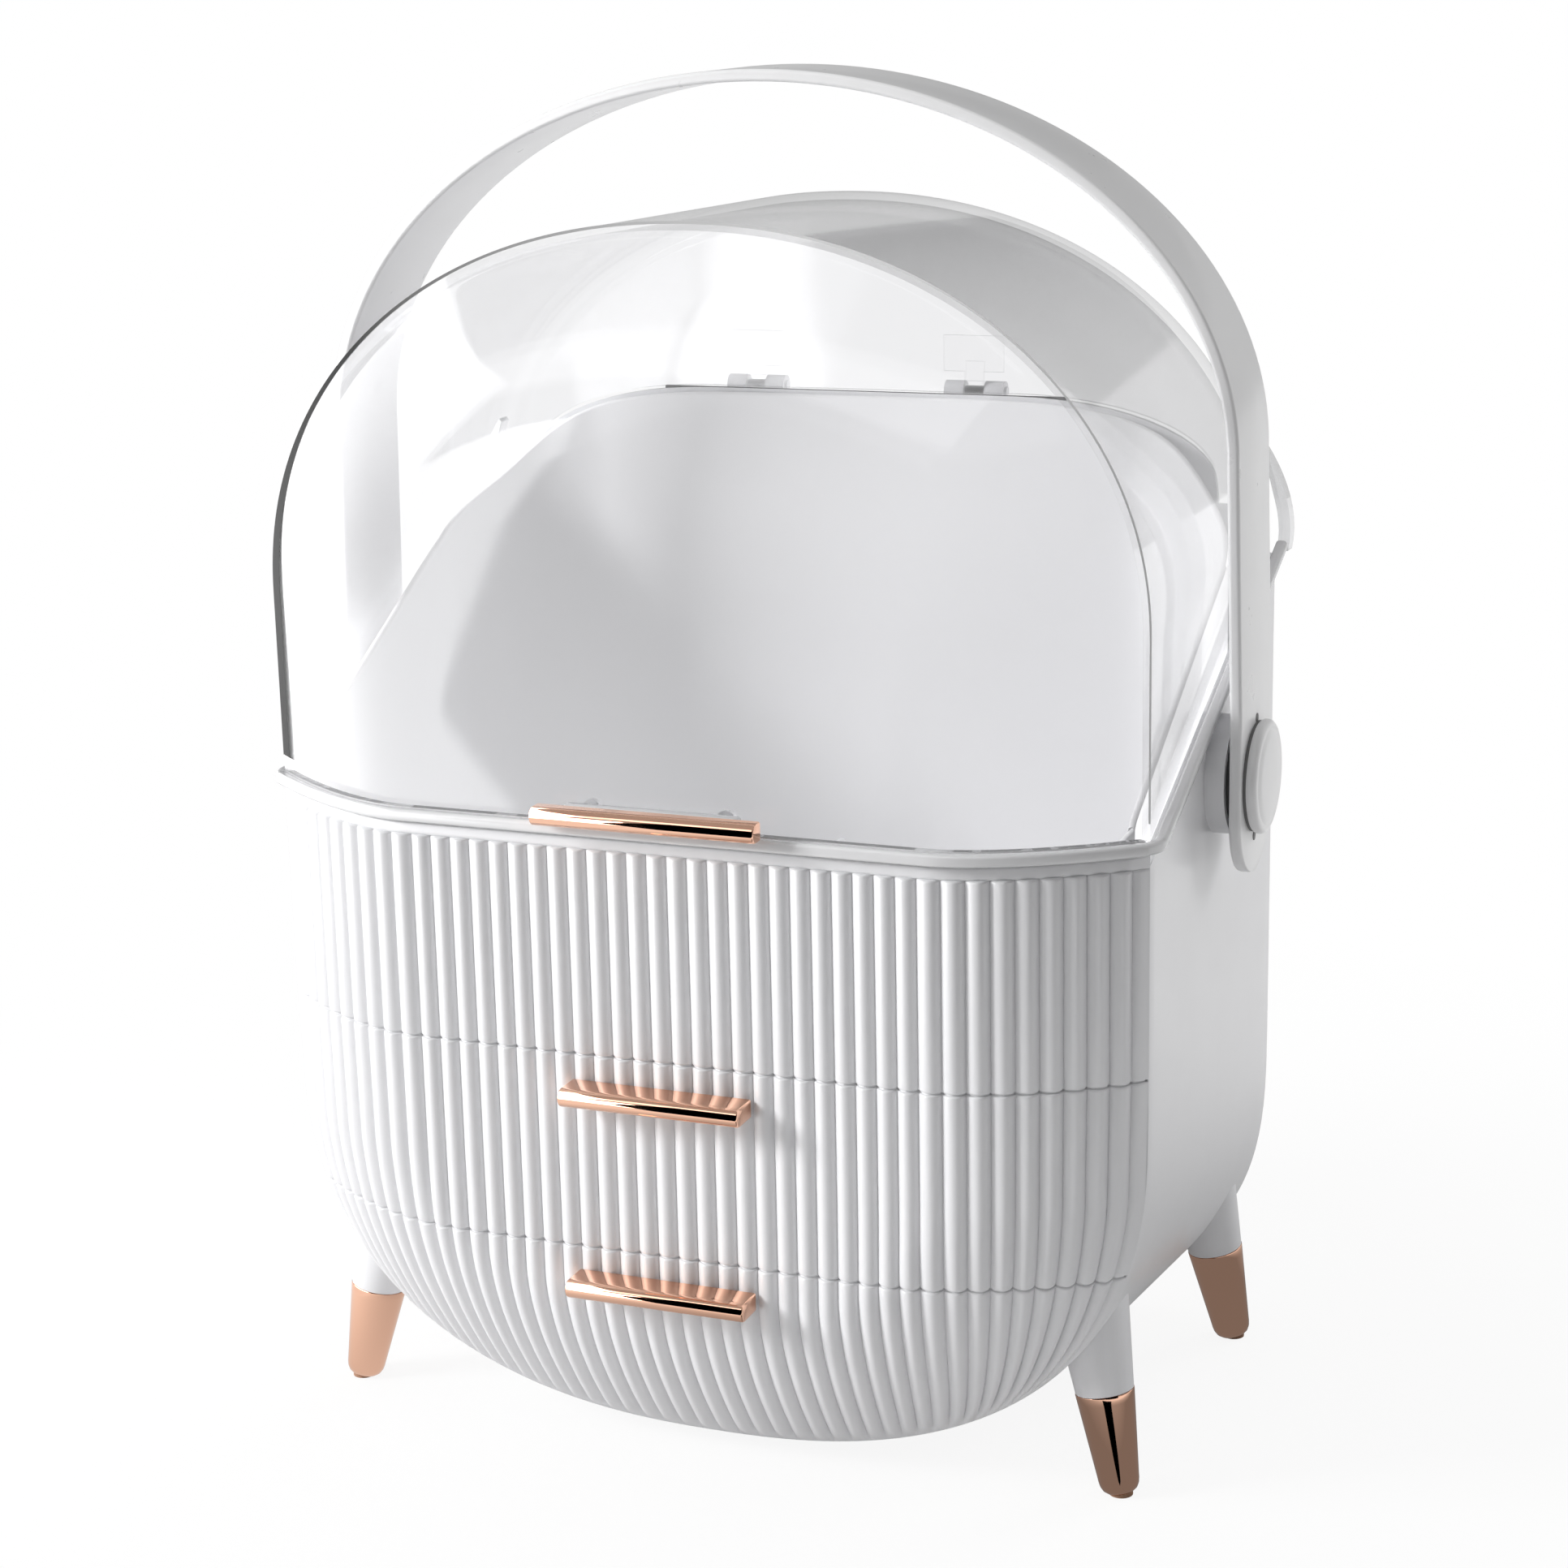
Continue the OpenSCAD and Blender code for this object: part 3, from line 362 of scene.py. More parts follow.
def round_rect(w, h, r, n):
    """rounded rectangle centred on 0, as (a, b) pairs; n steps in each corner"""
    pts = []
    cx, cy = w / 2 - r, h / 2 - r
    for x, y, a0 in ((cx, cy, 0), (-cx, cy, 90), (-cx, -cy, 180), (cx, -cy, 270)):
        for i in range(n + 1):
            a = math.radians(a0 + 90 * i / n)
            pts.append((x + r * math.cos(a), y + r * math.sin(a)))
    return np.array(pts)


def block(name, x0, x1, y0, y1, z0, z1, r, mat, body, slot, replaces=()):
    """rounded block: a rounded section in Y-Z drawn along X with rounded ends"""
    ends = [(0.0, r), (0.3 * r, 0.3 * r), (r, 0.0)]
    steps = [(x0 + a, g) for a, g in ends] + [(x1 - a, g) for a, g in ends[::-1]]
    v = []
    for x, g in steps:
        section = round_rect(y1 - y0 - 2 * g, z1 - z0 - 2 * g, max(r - g, 0.02), 4)
        v += [(x, (y0 + y1) / 2 + a, (z0 + z1) / 2 + b) for a, b in section]
    piece(name, v, tube(len(steps), len(v) // len(steps)), mat, body, slot, replaces)


def lathe(name, prof, origin, axis, mat, body, slot, replaces=()):
    """a turned piece; prof: (radius, height) pairs along axis from origin"""
    rot = Vector((0, 0, 1)).rotation_difference(Vector(axis).normalized()).to_matrix()
    v = []
    for r, h in prof:
        for i in range(AROUND):
            a = 2 * math.pi * i / AROUND
            p = rot @ Vector((r * math.cos(a), r * math.sin(a), h))
            v.append((p.x + origin[0], p.y + origin[1], p.z + origin[2]))
    piece(name, v, tube(len(prof), AROUND), mat, body, slot, replaces, sharp=35)


# ---------------------------------------------------------------- ribbed fronts
PER_RIB = 10                                # columns of the mesh to a rib
FADE = 5.0                                  # the ribs run out over this distance to the outline
PULL = 4                                    # how little the inner ribs follow it inwards
tt = np.linspace(-TEND, TEND, int(round(2 * TEND * PER_RIB)) + 1)
XT = rib_x(tt)
RISE = RIBH * np.abs(np.cos(np.pi * tt)) ** 0.75
# where each column meets the outline of the belly
share = np.minimum(np.abs(XT) / HALF, 0.9999)
XEND = HALF * (share - share ** PULL) / (1 - share ** PULL)
ZEND = ZLO - BLO * np.clip(1 - (XEND / HALF) ** NLO, 0, 1) ** (1 / NLO)


def ribbed(name, heights, push, body, replaces):
    """heights: one for each row, or rows x columns; push: rise of each row over the ribs"""
    if heights.ndim == 1:
        heights = heights[:, None]
    z = np.broadcast_to(heights, (len(heights), len(tt)))
    x = XT - np.sign(XT) * (HALF - edge_x(z)) * (np.abs(XT) / HALF) ** PULL
    y, n, d, k = cap(x, z)
    r = RISE * np.clip(d / FADE, 0, 1) + push[:, None]
    nz = n[..., 2] * np.clip((ZLO - z) / 40, 0, 1)
    outer = np.stack([x + n[..., 0] * r, np.minimum(y + n[..., 1] * r, CREASE), z + nz * r], -1)
    gx = n[..., 0] / np.maximum(np.hypot(n[..., 0], n[..., 2]), 1e-6)
    inner = np.stack([x - gx * WALL * np.sqrt(k), np.minimum(CREASE, y - n[..., 1] * WALL), z], -1)
    piece(name, *shell(outer, inner), SHELL, body, "shell_white", replaces, sharp=58)


# a cut edge is rounded: distances from it and the drops there
CUT, DROP = np.array([0.0, 0.1, 0.35, 0.8]), np.array([-0.45, -0.2, -0.05, 0.0])
# a lip behind the upper edge of each drawer closes the seam
LIP, LIP_DROP = [0.5, 0.01], [-0.85, -0.8]
UNDER = (CUT[::-1], DROP[::-1])

low = SEAM1 + SEAMH
ribbed("panel_ribs", np.concatenate([RIBTOP - CUT, low + UNDER[0]]),
       np.concatenate([DROP * 2, UNDER[1]]), "case", ["front_panel"])
high, low = SEAM1 - SEAMH, SEAM2 + SEAMH
mid = np.linspace(93, 73, 6)
ribbed("drawer_1_ribs", np.concatenate([np.add(high, LIP), high - CUT, mid, low + UNDER[0]]),
       np.concatenate([LIP_DROP, DROP, 0 * mid, UNDER[1]]), "drawer_1", ["drawer_1_front"])
high = SEAM2 - SEAMH
down = np.linspace(0, 1, 30)[1:]
reach = np.clip(high - CUT[-1] - ZEND, 0.01, None)
rows = np.concatenate([high - np.minimum(CUT[:, None], (high - ZEND) * 0.2),
                       high - CUT[-1] - reach * down[:, None]])
rows = np.minimum.accumulate(rows, 0)
rows = np.concatenate([np.full((2, len(tt)), high) + np.array(LIP)[:, None], rows])
ribbed("drawer_2_ribs", rows, np.concatenate([LIP_DROP, DROP, 0 * down]), "drawer_2",
       ["drawer_2_front"])

# smooth sill over the ribs
xs = HALF * np.sin(np.linspace(-90, 90, 181) * math.pi / 180)
y, n, d, k = cap(xs, np.full_like(xs, MIDZ))
SILL_RISE, SILL_IN = 0.75, -2.2
profile = [(SILL_IN, RIBTOP), (SILL_RISE - 0.3, RIBTOP), (SILL_RISE - 0.05, RIBTOP + 0.35),
           (SILL_RISE, RIBTOP + 0.8), (SILL_RISE, SILL - 0.8), (SILL_RISE - 0.2, SILL - 0.3),
           (SILL_RISE - 0.6, SILL), (SILL_IN, SILL)]
v = []
for r, z in profile:
    r = r * (np.clip(d / FADE, 0, 1) if r > 0 else 1)
    v.append(np.stack([xs + n[:, 0] * r, np.minimum(CREASE, y + n[:, 1] * r),
                       np.full_like(xs, z)], -1))
piece("panel_sill", np.stack(v, 1).reshape(-1, 3), tube(len(xs), len(profile)), SHELL, "case",
      "shell_white", sharp=50)

# ---------------------------------------------------------------- case shell
NLOW = 72                                   # points round the belly


def low_outline(g, ztop, y, nside=14):
    """right side down, round the belly and up the left side at a depth; g grows it"""
    t = (y - CREASE) / (REAR - CREASE)
    a = np.linspace(90, -90, NLOW) * math.pi / 180
    sn, cs = np.abs(np.sin(a)), np.clip(np.cos(a), 0, 1)
    x0, z0 = sn ** (2 / NLO), ZLO - (BLO + g) * cs ** (2 / NLO)
    x1, z1 = sn ** (2 / NREAR), REAR_ZLO - (REAR_BLO + g) * cs ** (2 / NREAR)
    x = (HALF + g) * np.sign(np.sin(a)) * (x0 + (x1 - x0) * t)
    z = z0 + (z1 - z0) * t
    zs = np.linspace(ztop, z[0], nside, endpoint=False)
    return np.concatenate([np.stack([np.full(nside, HALF + g), zs], -1), np.stack([x, z], -1),
                           np.stack([np.full(nside, -HALF - g), zs[::-1]], -1)])


def body_x(y, z):
    """half width of the case at a depth and a height"""
    right = low_outline(0, 200.0, y, 2)[:2 + NLOW // 2]
    return float(np.interp(z, right[::-1, 1], right[::-1, 0]))


def ring(g, y_shape, y):
    c = low_outline(g, split(y_shape), y_shape)
    return np.stack([c[:, 0], np.full(len(c), y), c[:, 1]], -1)


REAR_R = 2.4                                # round of the rear edge
steps = [(CREASE + 0.3, -0.5), (CREASE + 0.45, -0.15), (CREASE + 0.9, 0.0)]
steps += [(y, 0.0) for y in np.linspace(CREASE + 6, REAR - REAR_R, 16)]
steps += [(REAR - REAR_R + REAR_R * math.sin(a), -REAR_R * (1 - math.cos(a)))
          for a in np.linspace(0, math.pi / 2, 9)[1:]]
outer = np.stack([ring(g, y, y) for y, g in steps])
inner = np.stack([ring(min(g, 0) - WALL, y, min(y, REAR - WALL)) for y, g in steps])
piece("case_shell", *shell(outer, inner), SHELL, "case", "shell_white", ["housing"], sharp=40)


def plate(name, c, y0, y1, bevel, mat, body, slot):
    """flat plate in X-Z with bevelled edges on the rear side; c runs anticlockwise"""
    e = np.roll(c, -1, 0) - np.roll(c, 1, 0)
    nrm = np.stack([e[:, 1], -e[:, 0]], -1)
    nrm /= np.linalg.norm(nrm, axis=1, keepdims=True)
    rings = [(y0, 0.0), (y1 - bevel, 0.0), (y1 - 0.3 * bevel, -0.3 * bevel), (y1, -bevel)]
    v = np.concatenate([np.stack([c[:, 0] + nrm[:, 0] * g, np.full(len(c), y),
                                  c[:, 1] + nrm[:, 1] * g], -1) for y, g in rings])
    piece(name, v, tube(len(rings), len(c)), mat, body, slot, sharp=35)


top = split(REAR) + 0.2
low = low_outline(-REAR_R, top, REAR)
a = np.linspace(0, math.pi / 2, 14)
shoulder = np.stack([SHF + (SHX + 1 - SHF) * np.cos(a), SHZ + (PTOP - SHZ + 1) * np.sin(a)], -1)
step = [[HALF - REAR_R, top], [127.6, top + 2.3], [127.8, 257.5], [124, 261.2],
        [shoulder[0, 0] + 0.6, 261.4]]
right = np.concatenate([low[:len(low) // 2][::-1], step, shoulder])
plate("case_back", np.concatenate([right, (right * [-1, 1])[::-1]]), REAR - WALL, REAR, 0.6,
      SHELL, "case", "shell_white")

# ---------------------------------------------------------------- white bin under the lid
BIN_HALF, BIN_R, BIN_WALL, BIN_Z = 126.4, 42.0, 2.0, 131.0   # half width, rear corners, floor
BIN_REAR, BIN_PLAY = REAR - WALL - 0.2, 3.0
# its edge runs up from (y, z) to (y, z) at the front corner, then along a slope
BIN_CORNER, BIN_RISE = ((-58.7, 190.1), (-52.7, 199.0)), 0.55
ang = np.linspace(0, math.pi / 2, 22)
fx = BIN_HALF * np.sin(np.linspace(0, 88, 40) * math.pi / 180)
fy = np.minimum(CREASE, cap(fx, np.full_like(fx, MIDZ))[0]) + WALL + BIN_PLAY
side_y = np.linspace(CREASE + 6, BIN_REAR - BIN_R, 24, endpoint=False)
# the right half seen from above, from the middle of the front to the middle of the back
plan = np.concatenate([
    np.stack([fx, fy], -1), [[BIN_HALF, CREASE + 3.2]],
    np.stack([np.full(len(side_y), BIN_HALF), side_y], -1),
    np.stack([BIN_HALF - BIN_R + BIN_R * np.cos(ang), BIN_REAR - BIN_R + BIN_R * np.sin(ang)], -1),
    np.stack([np.linspace(BIN_HALF - BIN_R, 0, 20)[1:], np.full(19, BIN_REAR)], -1)])
e = np.gradient(plan, axis=0)
out = np.stack([e[:, 1], -e[:, 0]], -1)
out /= np.linalg.norm(out, axis=1, keepdims=True)


def bin_edge(p):
    """height of the upper edge: along the sill, up the slope of the sides, over the shoulders"""
    x, y = abs(p[0]), p[1] - BIN_PLAY - 0.3
    (y0, z0), (y1, z1) = BIN_CORNER
    if y < -58:
        return SILL - 0.5
    z = z1 + BIN_RISE * (y - y1) if y > y1 else z0 + (z1 - z0) * (y - y0) / (y1 - y0)
    if y > 30 and x < SHX:
        q = max(x - SHF, 0) / (SHX - SHF)
        z = max(z, SHZ + (PTOP - SHZ) * math.sqrt(max(0, 1 - q ** 2)))
    return min(z, PTOP)


edge = np.array([bin_edge(p) for p in plan])
kernel = np.hanning(15)[1:-1]
kernel /= kernel.sum()
smooth = np.convolve(np.pad(edge, 6, mode="edge"), kernel, "valid")
edge = np.where(plan[:, 1] > CREASE + 20, smooth, edge)
# the wall up inside, over its rounded edge and down outside: distance in, height over the edge
lip = [(BIN_WALL, -1.0), (BIN_WALL, -0.7), (BIN_WALL - 0.35, -0.2), (BIN_WALL / 2, 0.0),
       (0.35, -0.2), (0, -0.7), (0, -1.0)]
rows = []
for p, q, z in zip(plan, out, edge):
    wall = [(BIN_WALL, BIN_Z + 2 + (z - 1 - BIN_Z - 2) * s) for s in np.linspace(0, 1, 8)[:-1]]
    wall += [(a, z + b) for a, b in lip]
    wall += [(0, BIN_Z + (z - 1 - BIN_Z) * s) for s in np.linspace(1, 0, 8)[1:]]
    rows.append([(*(p - q * a), h) for a, h in wall])
rows = np.array(rows)
full = np.concatenate([rows, (rows * [-1, 1, 1])[::-1][1:]])
nr, nc = full.shape[:2]
last = (nr - 1) * nc
f = quads(nr, nc) + [(last + j, j, j + 1, last + j + 1) for j in range(nc - 1)]
f += [tuple(i * nc for i in range(nr)), tuple(i * nc + nc - 1 for i in reversed(range(nr)))]
o = piece("bin_liner", full.reshape(-1, 3), f, INNER_PAINTED_LIGHT, "case", "inner_white", ["top_bin"], sharp=50)
# the outer sides of the liner stand close behind the clear lid, which keeps the lamps off them;
# they get painted light instead: a lighter copy of the inner plastic that glows strongly
o.data.materials.append(LINER_SIDE_PAINTED_LIGHT)
for q in o.data.polygons:
    outwards = q.normal.x * q.center.x > 0 and abs(q.normal.x) > 0.8
    if outwards and abs(q.center.x) > (BIN_HALF - 1.0) * MM:
        q.material_index = 1

# ---------------------------------------------------------------- clear lid
NT = 181                                    # points over the arch of the lid
LID_R = 6.0                                 # round of its rear edge
NARROW = 2.0                                # how much the lid narrows to the back
NOTCH_Z, PLAY = 262.0, 1.6                  # its rear opening: top of the sides, play
theta = np.linspace(0, math.pi, NT)


def radius(inside):
    """distance from the middle of the lid's lower edge to an outline, for each theta"""
    lo, hi = np.zeros(NT), np.full(NT, 260.0)
    for _ in range(50):
        m = (lo + hi) / 2
        ok = inside(m * np.cos(theta), LIDLOW + m * np.sin(theta))
        lo, hi = np.where(ok, m, lo), np.where(ok, hi, m)
    return lo


R = radius(lambda x, z: level(x, z) < 1)
OX, OZ = R * np.cos(theta), LIDLOW + R * np.sin(theta)
_, ONX, ONZ = inset(OX * 0.9999, OZ)
RINGS = [0, .0035, .008, .014, .022, .034, .05, .07, .095, .125, .16, .2, .245, .3, .36, .43, .52,
         .63, .76, .9, 1]                   # rings of the front wall, inwards from the crease


def side_row(y, g):
    zb = split(y) + 0.5
    z = np.where(OZ < ZHI, zb + (OZ - LIDLOW) / (ZHI - LIDLOW) * (ZHI - zb), OZ)
    return np.stack([OX - ONX * g, np.full(NT, y), z - ONZ * g * (OZ > ZHI)], -1)


def lid_surface(g, rear_y):
    """rows from the middle of the front, over the crease, to the back; g is the offset inwards"""
    out = []
    for q in RINGS[::-1]:
        x, z = OX * (1 - q), LIDLOW + (OZ - LIDLOW) * (1 - q)
        y, n, d, k = cap(x, z)
        r = g * np.clip(k * 1.3, 0, 1) / np.maximum(np.hypot(n[:, 0], n[:, 2]), 1e-6)
        out.append(np.stack([x - n[:, 0] * r,
                             np.minimum(y - n[:, 1] * g, CREASE + (0.4 if g else 0)),
                             np.maximum(z - n[:, 2] * r, LIDLOW)], -1))
    sides = np.linspace(CREASE + 10, rear_y - LID_R, 12)
    for y in [CREASE + 0.5, CREASE + 1.5, CREASE + 4, *sides]:
        out.append(side_row(y, g + NARROW * (y - CREASE) / (REAR - CREASE)))
    for a in np.linspace(0, math.pi / 2, 9)[1:]:
        out.append(side_row(rear_y - LID_R * (1 - math.sin(a)),
                            g + NARROW + LID_R * (1 - math.cos(a))))
    return np.stack(out)


def in_cut(x, z):
    """inside the opening that the back wall of the lid leaves for the case's back panel"""
    x = np.abs(x)
    a = np.clip((x - SHF) / (SHX + PLAY - SHF), 0, None)
    arch = SHZ + (PTOP - SHZ + PLAY) * np.sqrt(np.clip(1 - a ** 2, 0, 1))
    return ((x < SHX + PLAY) & (z < arch)) | ((x < HALF - LIDW) & (z < NOTCH_Z))


R_CUT = radius(in_cut)


def with_back(rows, y):
    """adds the flat back wall, from the rounded corner in to the opening"""
    x, z = rows[-1][:, 0], rows[-1][:, 2]
    k = np.minimum(R_CUT / np.hypot(x, z - LIDLOW), 1)
    back = [np.stack([x + (x * k - x) * q, np.full(NT, y),
                      z + (LIDLOW + (z - LIDLOW) * k - z) * q], -1) for q in (0.35, 0.7, 1.0)]
    return np.concatenate([rows, back])


outer = with_back(lid_surface(0.0, REAR), REAR)
inner = with_back(lid_surface(LIDW, REAR - LIDW), REAR - LIDW)
piece("lid_clear", *shell(outer, inner), CLEAR, "lid", "clear_lid", ["lid_cover"], sharp=30)

# the fold between the front and the sides: a thin strip of painted shade on the wall, widest low
# on the left
wide = np.where(OX < -30,
                np.interp(OZ, [LIDLOW, 253, 276, 300, 330, 345], [7.4, 6.0, 3.8, 2.1, 1.1, 0.8]),
                np.interp(OX, [-30, 20, 90], [0.8, 0.6, 0.45]))
keep = OZ > LIDLOW + 3.0
strip = []
for q, lift in ((None, -0.2), (0.0, 0.12), (0.5, 0.12), (1.0, 0.12)):
    x, z = OX - ONX * wide * (q or 0), OZ - ONZ * wide * (q or 0)
    y, n, d, k = cap(x, z)
    y = np.full(NT, CREASE + 0.4) if q is None else np.minimum(y, CREASE)
    strip.append((np.stack([x, y, z], -1) + n * lift)[keep])
strip = np.array(strip)
piece("lid_fold_painted_shade", *shell(strip, strip + np.array([0, 0.1, 0])), FOLD_SHADE, "lid", "clear_lid")

# ---------------------------------------------------------------- rim flange of the lid
RIM_Z, RIM_W, RIM_H = LIDLOW - 1.8, 3.3, 3.5
CORNER_Y = CREASE + 3.5                     # the rim has turned from the front to the side here


def rim_path():
    """right half of the rim from the middle of the front, and its outward directions"""
    xs = (HALF - 1.0) * np.sin(np.linspace(0, 86, 60) * math.pi / 180)
    y, n, d, k = cap(xs, np.full_like(xs, MIDZ))
    pts = [(x, yy, RIM_Z) for x, yy in zip(xs, y)]
    outs = [(a, b, 0.0) for a, b in n[:, :2]]
    a0 = math.atan2(n[-1, 0], -n[-1, 1])
    for q in np.linspace(0, 1, 10)[1:]:
        a = a0 + (math.pi / 2 - a0) * q
        pts.append((xs[-1] + (HALF - xs[-1]) * math.sin(q * math.pi / 2),
                    y[-1] + (CORNER_Y - y[-1]) * q, RIM_Z))
        outs.append((math.sin(a), -math.cos(a), 0.0))
    for yy in np.linspace(CREASE + 5, REAR - 1, 40):
        q = min(1, (yy - CORNER_Y) / 16)
        pts.append((HALF, yy, max(RIM_Z, split(yy) + 2.85) + 0.6 * (1 - abs(2 * q - 1))))
        outs.append((1.0, 0.0, 0.0))
    return np.array(pts), np.array(outs)


P, N = rim_path()
P = np.concatenate([(P * [-1, 1, 1])[::-1], P[1:]])
N = np.concatenate([(N * [-1, 1, 1])[::-1], N[1:]])
along = np.gradient(P, axis=0)
along /= np.linalg.norm(along, axis=1, keepdims=True)
U = np.cross(N, along)
U *= np.sign(U[:, 2:3])
piece("rim_flange", *sweep(P, N, U, round_rect(RIM_W, RIM_H, 1.1, 5) + [1.72, 0]), RIM, "lid",
      "clear_rim", ["lid_rim"])
front = P[:, 1] < CREASE - 0.5
flat = np.array([(0.05, -1.8), (0.05, 1.8), (-2.35, 1.8), (-2.35, -1.8)])
piece("rim_ring", *sweep(P[front], N[front], U[front], flat), RIM, "lid", "clear_rim", sharp=30)

# the gap line on the back panel (painted shade: a dark block in the gap), the divider tray in the
# bin and the thumb tab of the lid
block("back_gap_shade", -66, 66, REAR - 2.2, REAR - 0.9, PTOP + 0.12, PTOP + 1.15, 0.3, GAP_SHADE, "case",
      "shell_white")
DIV_Z, DIV_TOP, DIV_T = 133.1, 133.1 + 21.4, 1.8
block("divider_cross", -124, 124, 0, DIV_T, DIV_Z, DIV_TOP, 0.5, INNER_PAINTED_LIGHT, "case", "inner_white",
      ["bin_divider"])
for kind, y0, y1, places in (("rear", 1.9, 61.8, (-63.2, 0, 63.2)),
                             ("front", -61.7, -0.1, (-31.6, 31.6))):
    for i, x in enumerate(places):
        block("divider_%s_%d" % (kind, i), x - DIV_T / 2, x + DIV_T / 2, y0, y1, DIV_Z, DIV_TOP,
              0.5, INNER_PAINTED_LIGHT, "case", "inner_white")
block("thumb_tab", -26, 26, FRONT - 5, FRONT - 0.1, LIDLOW + 0.1, LIDLOW + 5.6, 1.2, RIM, "lid",
      "clear_rim")


# ---------------------------------------------------------------- pulls
def pull(name, length, z, back, reach, body, replaces):
    """a bar with a round front, from y = back forwards by reach"""
    r, nose = 2.7, back - reach
    turn = [math.radians(90 + 180 * i / 16) for i in range(17)]
    prof = [(back, z + r)]
    prof += [(nose + r + r * math.cos(a), z + r * math.sin(a)) for a in turn]
    prof += [(back, z - r)]
    ends = [(0.0, 0.55), (0.15, 0.2), (0.5, 0.0)]
    steps = [(-length / 2 + a, g) for a, g in ends] + [(length / 2 - a, g) for a, g in ends[::-1]]
    v = []
    for x, g in steps:
        for py, pz in prof:
            depth = min(max(py - nose, 0), reach)
            ahead = g * (1 - depth / r) if depth < r and py < nose + r else 0
            v.append((x, py + ahead, z + (pz - z) * (1 - g / r)))
    piece(name, v, tube(len(steps), len(prof)), ROSE, body, "rose_gold", replaces, sharp=38)


RIB_FACE = FRONT - RIBH - 0.05
pull("pull_upper", 54, 117.6, RIB_FACE, 10.3, "drawer_1", ["drawer_1_pull"])
pull("pull_lower", 54, 60.6, RIB_FACE, 10.3, "drawer_2", ["drawer_2_pull"])
pull("pull_lid", 66, 197.6, FRONT - 5.05, 5.5, "lid", ["lid_pull"])

# ---------------------------------------------------------------- strap handle
STRAP_X, ARCH_X, ARCH_Z = 141.8, 140.0, 105.5   # half width at the pivot and of the arch, its rise
STRAP_T, STRAP_W = 3.5, 35.5
FLARE, SPRING = PIVZ + 19.0, 287                # from upright, by a slight lean, to the arch
END_Z = PIVZ - 27.8 + STRAP_W / 2               # centre of the round end
path = []                                       # x, z, outward x, outward z, width
for q in np.linspace(0, 1, 12):
    a = q * math.pi / 2
    path.append((STRAP_X, END_Z - STRAP_W / 2 * math.cos(a), 1, 0, math.sin(a) * STRAP_W))
for z in [*np.linspace(END_Z, FLARE, 6)[1:], *np.linspace(FLARE, SPRING, 9)[1:]]:
    q = max(0.0, (z - FLARE) / (SPRING - FLARE))
    path.append((STRAP_X + (ARCH_X - STRAP_X) * q, z, 1, 0, STRAP_W))
for q in np.linspace(0, 90, 46)[1:]:
    a = math.radians(q)
    n = np.array([math.cos(a) / ARCH_X, math.sin(a) / ARCH_Z])
    n /= np.linalg.norm(n)
    path.append((ARCH_X * math.cos(a), SPRING + ARCH_Z * math.sin(a), *n, STRAP_W))
path = np.array(path)
path = np.concatenate([path, (path * [-1, 1, -1, 1, 1])[::-1][1:]])
v = []
for px, pz, nx, nz, w in path:
    w = max(w, 0.4)
    for a, b in round_rect(w, STRAP_T, min(1.1, w * 0.4), 5):
        v.append((px + nx * (b - STRAP_T / 2), PIVY + a, pz + nz * (b - STRAP_T / 2)))
piece("strap", v, tube(len(path), len(v) // len(path)), STRAP, "handle", "strap_white",
      ["handle_strap"], sharp=40)

# turned knobs, with a dark disc behind as painted shade of the gap, and two dark marks
# in the strap round them as painted shade of its slots
KNOB = [(14.6, 0), (15.5, 0.3), (15.9, 0.9), (15.95, 2.0), (15.7, 2.7), (15.1, 3.25), (14.3, 3.5),
        (13.6, 3.45), (13.1, 3.5), (12.4, 3.85), (10, 4.05), (5, 4.25), (0.05, 4.3)]
KNOB = [(r * 1.025, h * 4 / 4.3) for r, h in KNOB]
KNOB_GAP_SHADE = [(0.05, 0), (15.8, 0), (15.8, 0.9), (0.05, 0.9)]
KNOB_SLOT_SHADE = [(0.05, 0), (1.25, 0), (1.3, 0.18), (0.05, 0.2)]
for side, sx in (("right", 1), ("left", -1)):
    lathe("knob_gap_shade_" + side, KNOB_GAP_SHADE, (sx * (STRAP_X - 0.05), PIVY, PIVZ), (sx, 0, 0), GAP_SHADE,
          "handle", "strap_white")
    for i, (y, z) in enumerate(((19.9, 212.3), (18.3, 178.2))):
        lathe("knob_slot_shade_%s_%d" % (side, i), KNOB_SLOT_SHADE, (sx * (STRAP_X - 0.02), y, z),
              (sx, 0, 0), GAP_SHADE, "handle", "strap_white")
    lathe("knob_cap_" + side, KNOB, (sx * (STRAP_X + 0.65), PIVY, PIVZ), (sx, 0, 0), STRAP,
          "handle", "strap_white", ["knob_" + side])

# ---------------------------------------------------------------- legs
SPLAY, RAKE = math.radians(10.6), math.radians(4.6)
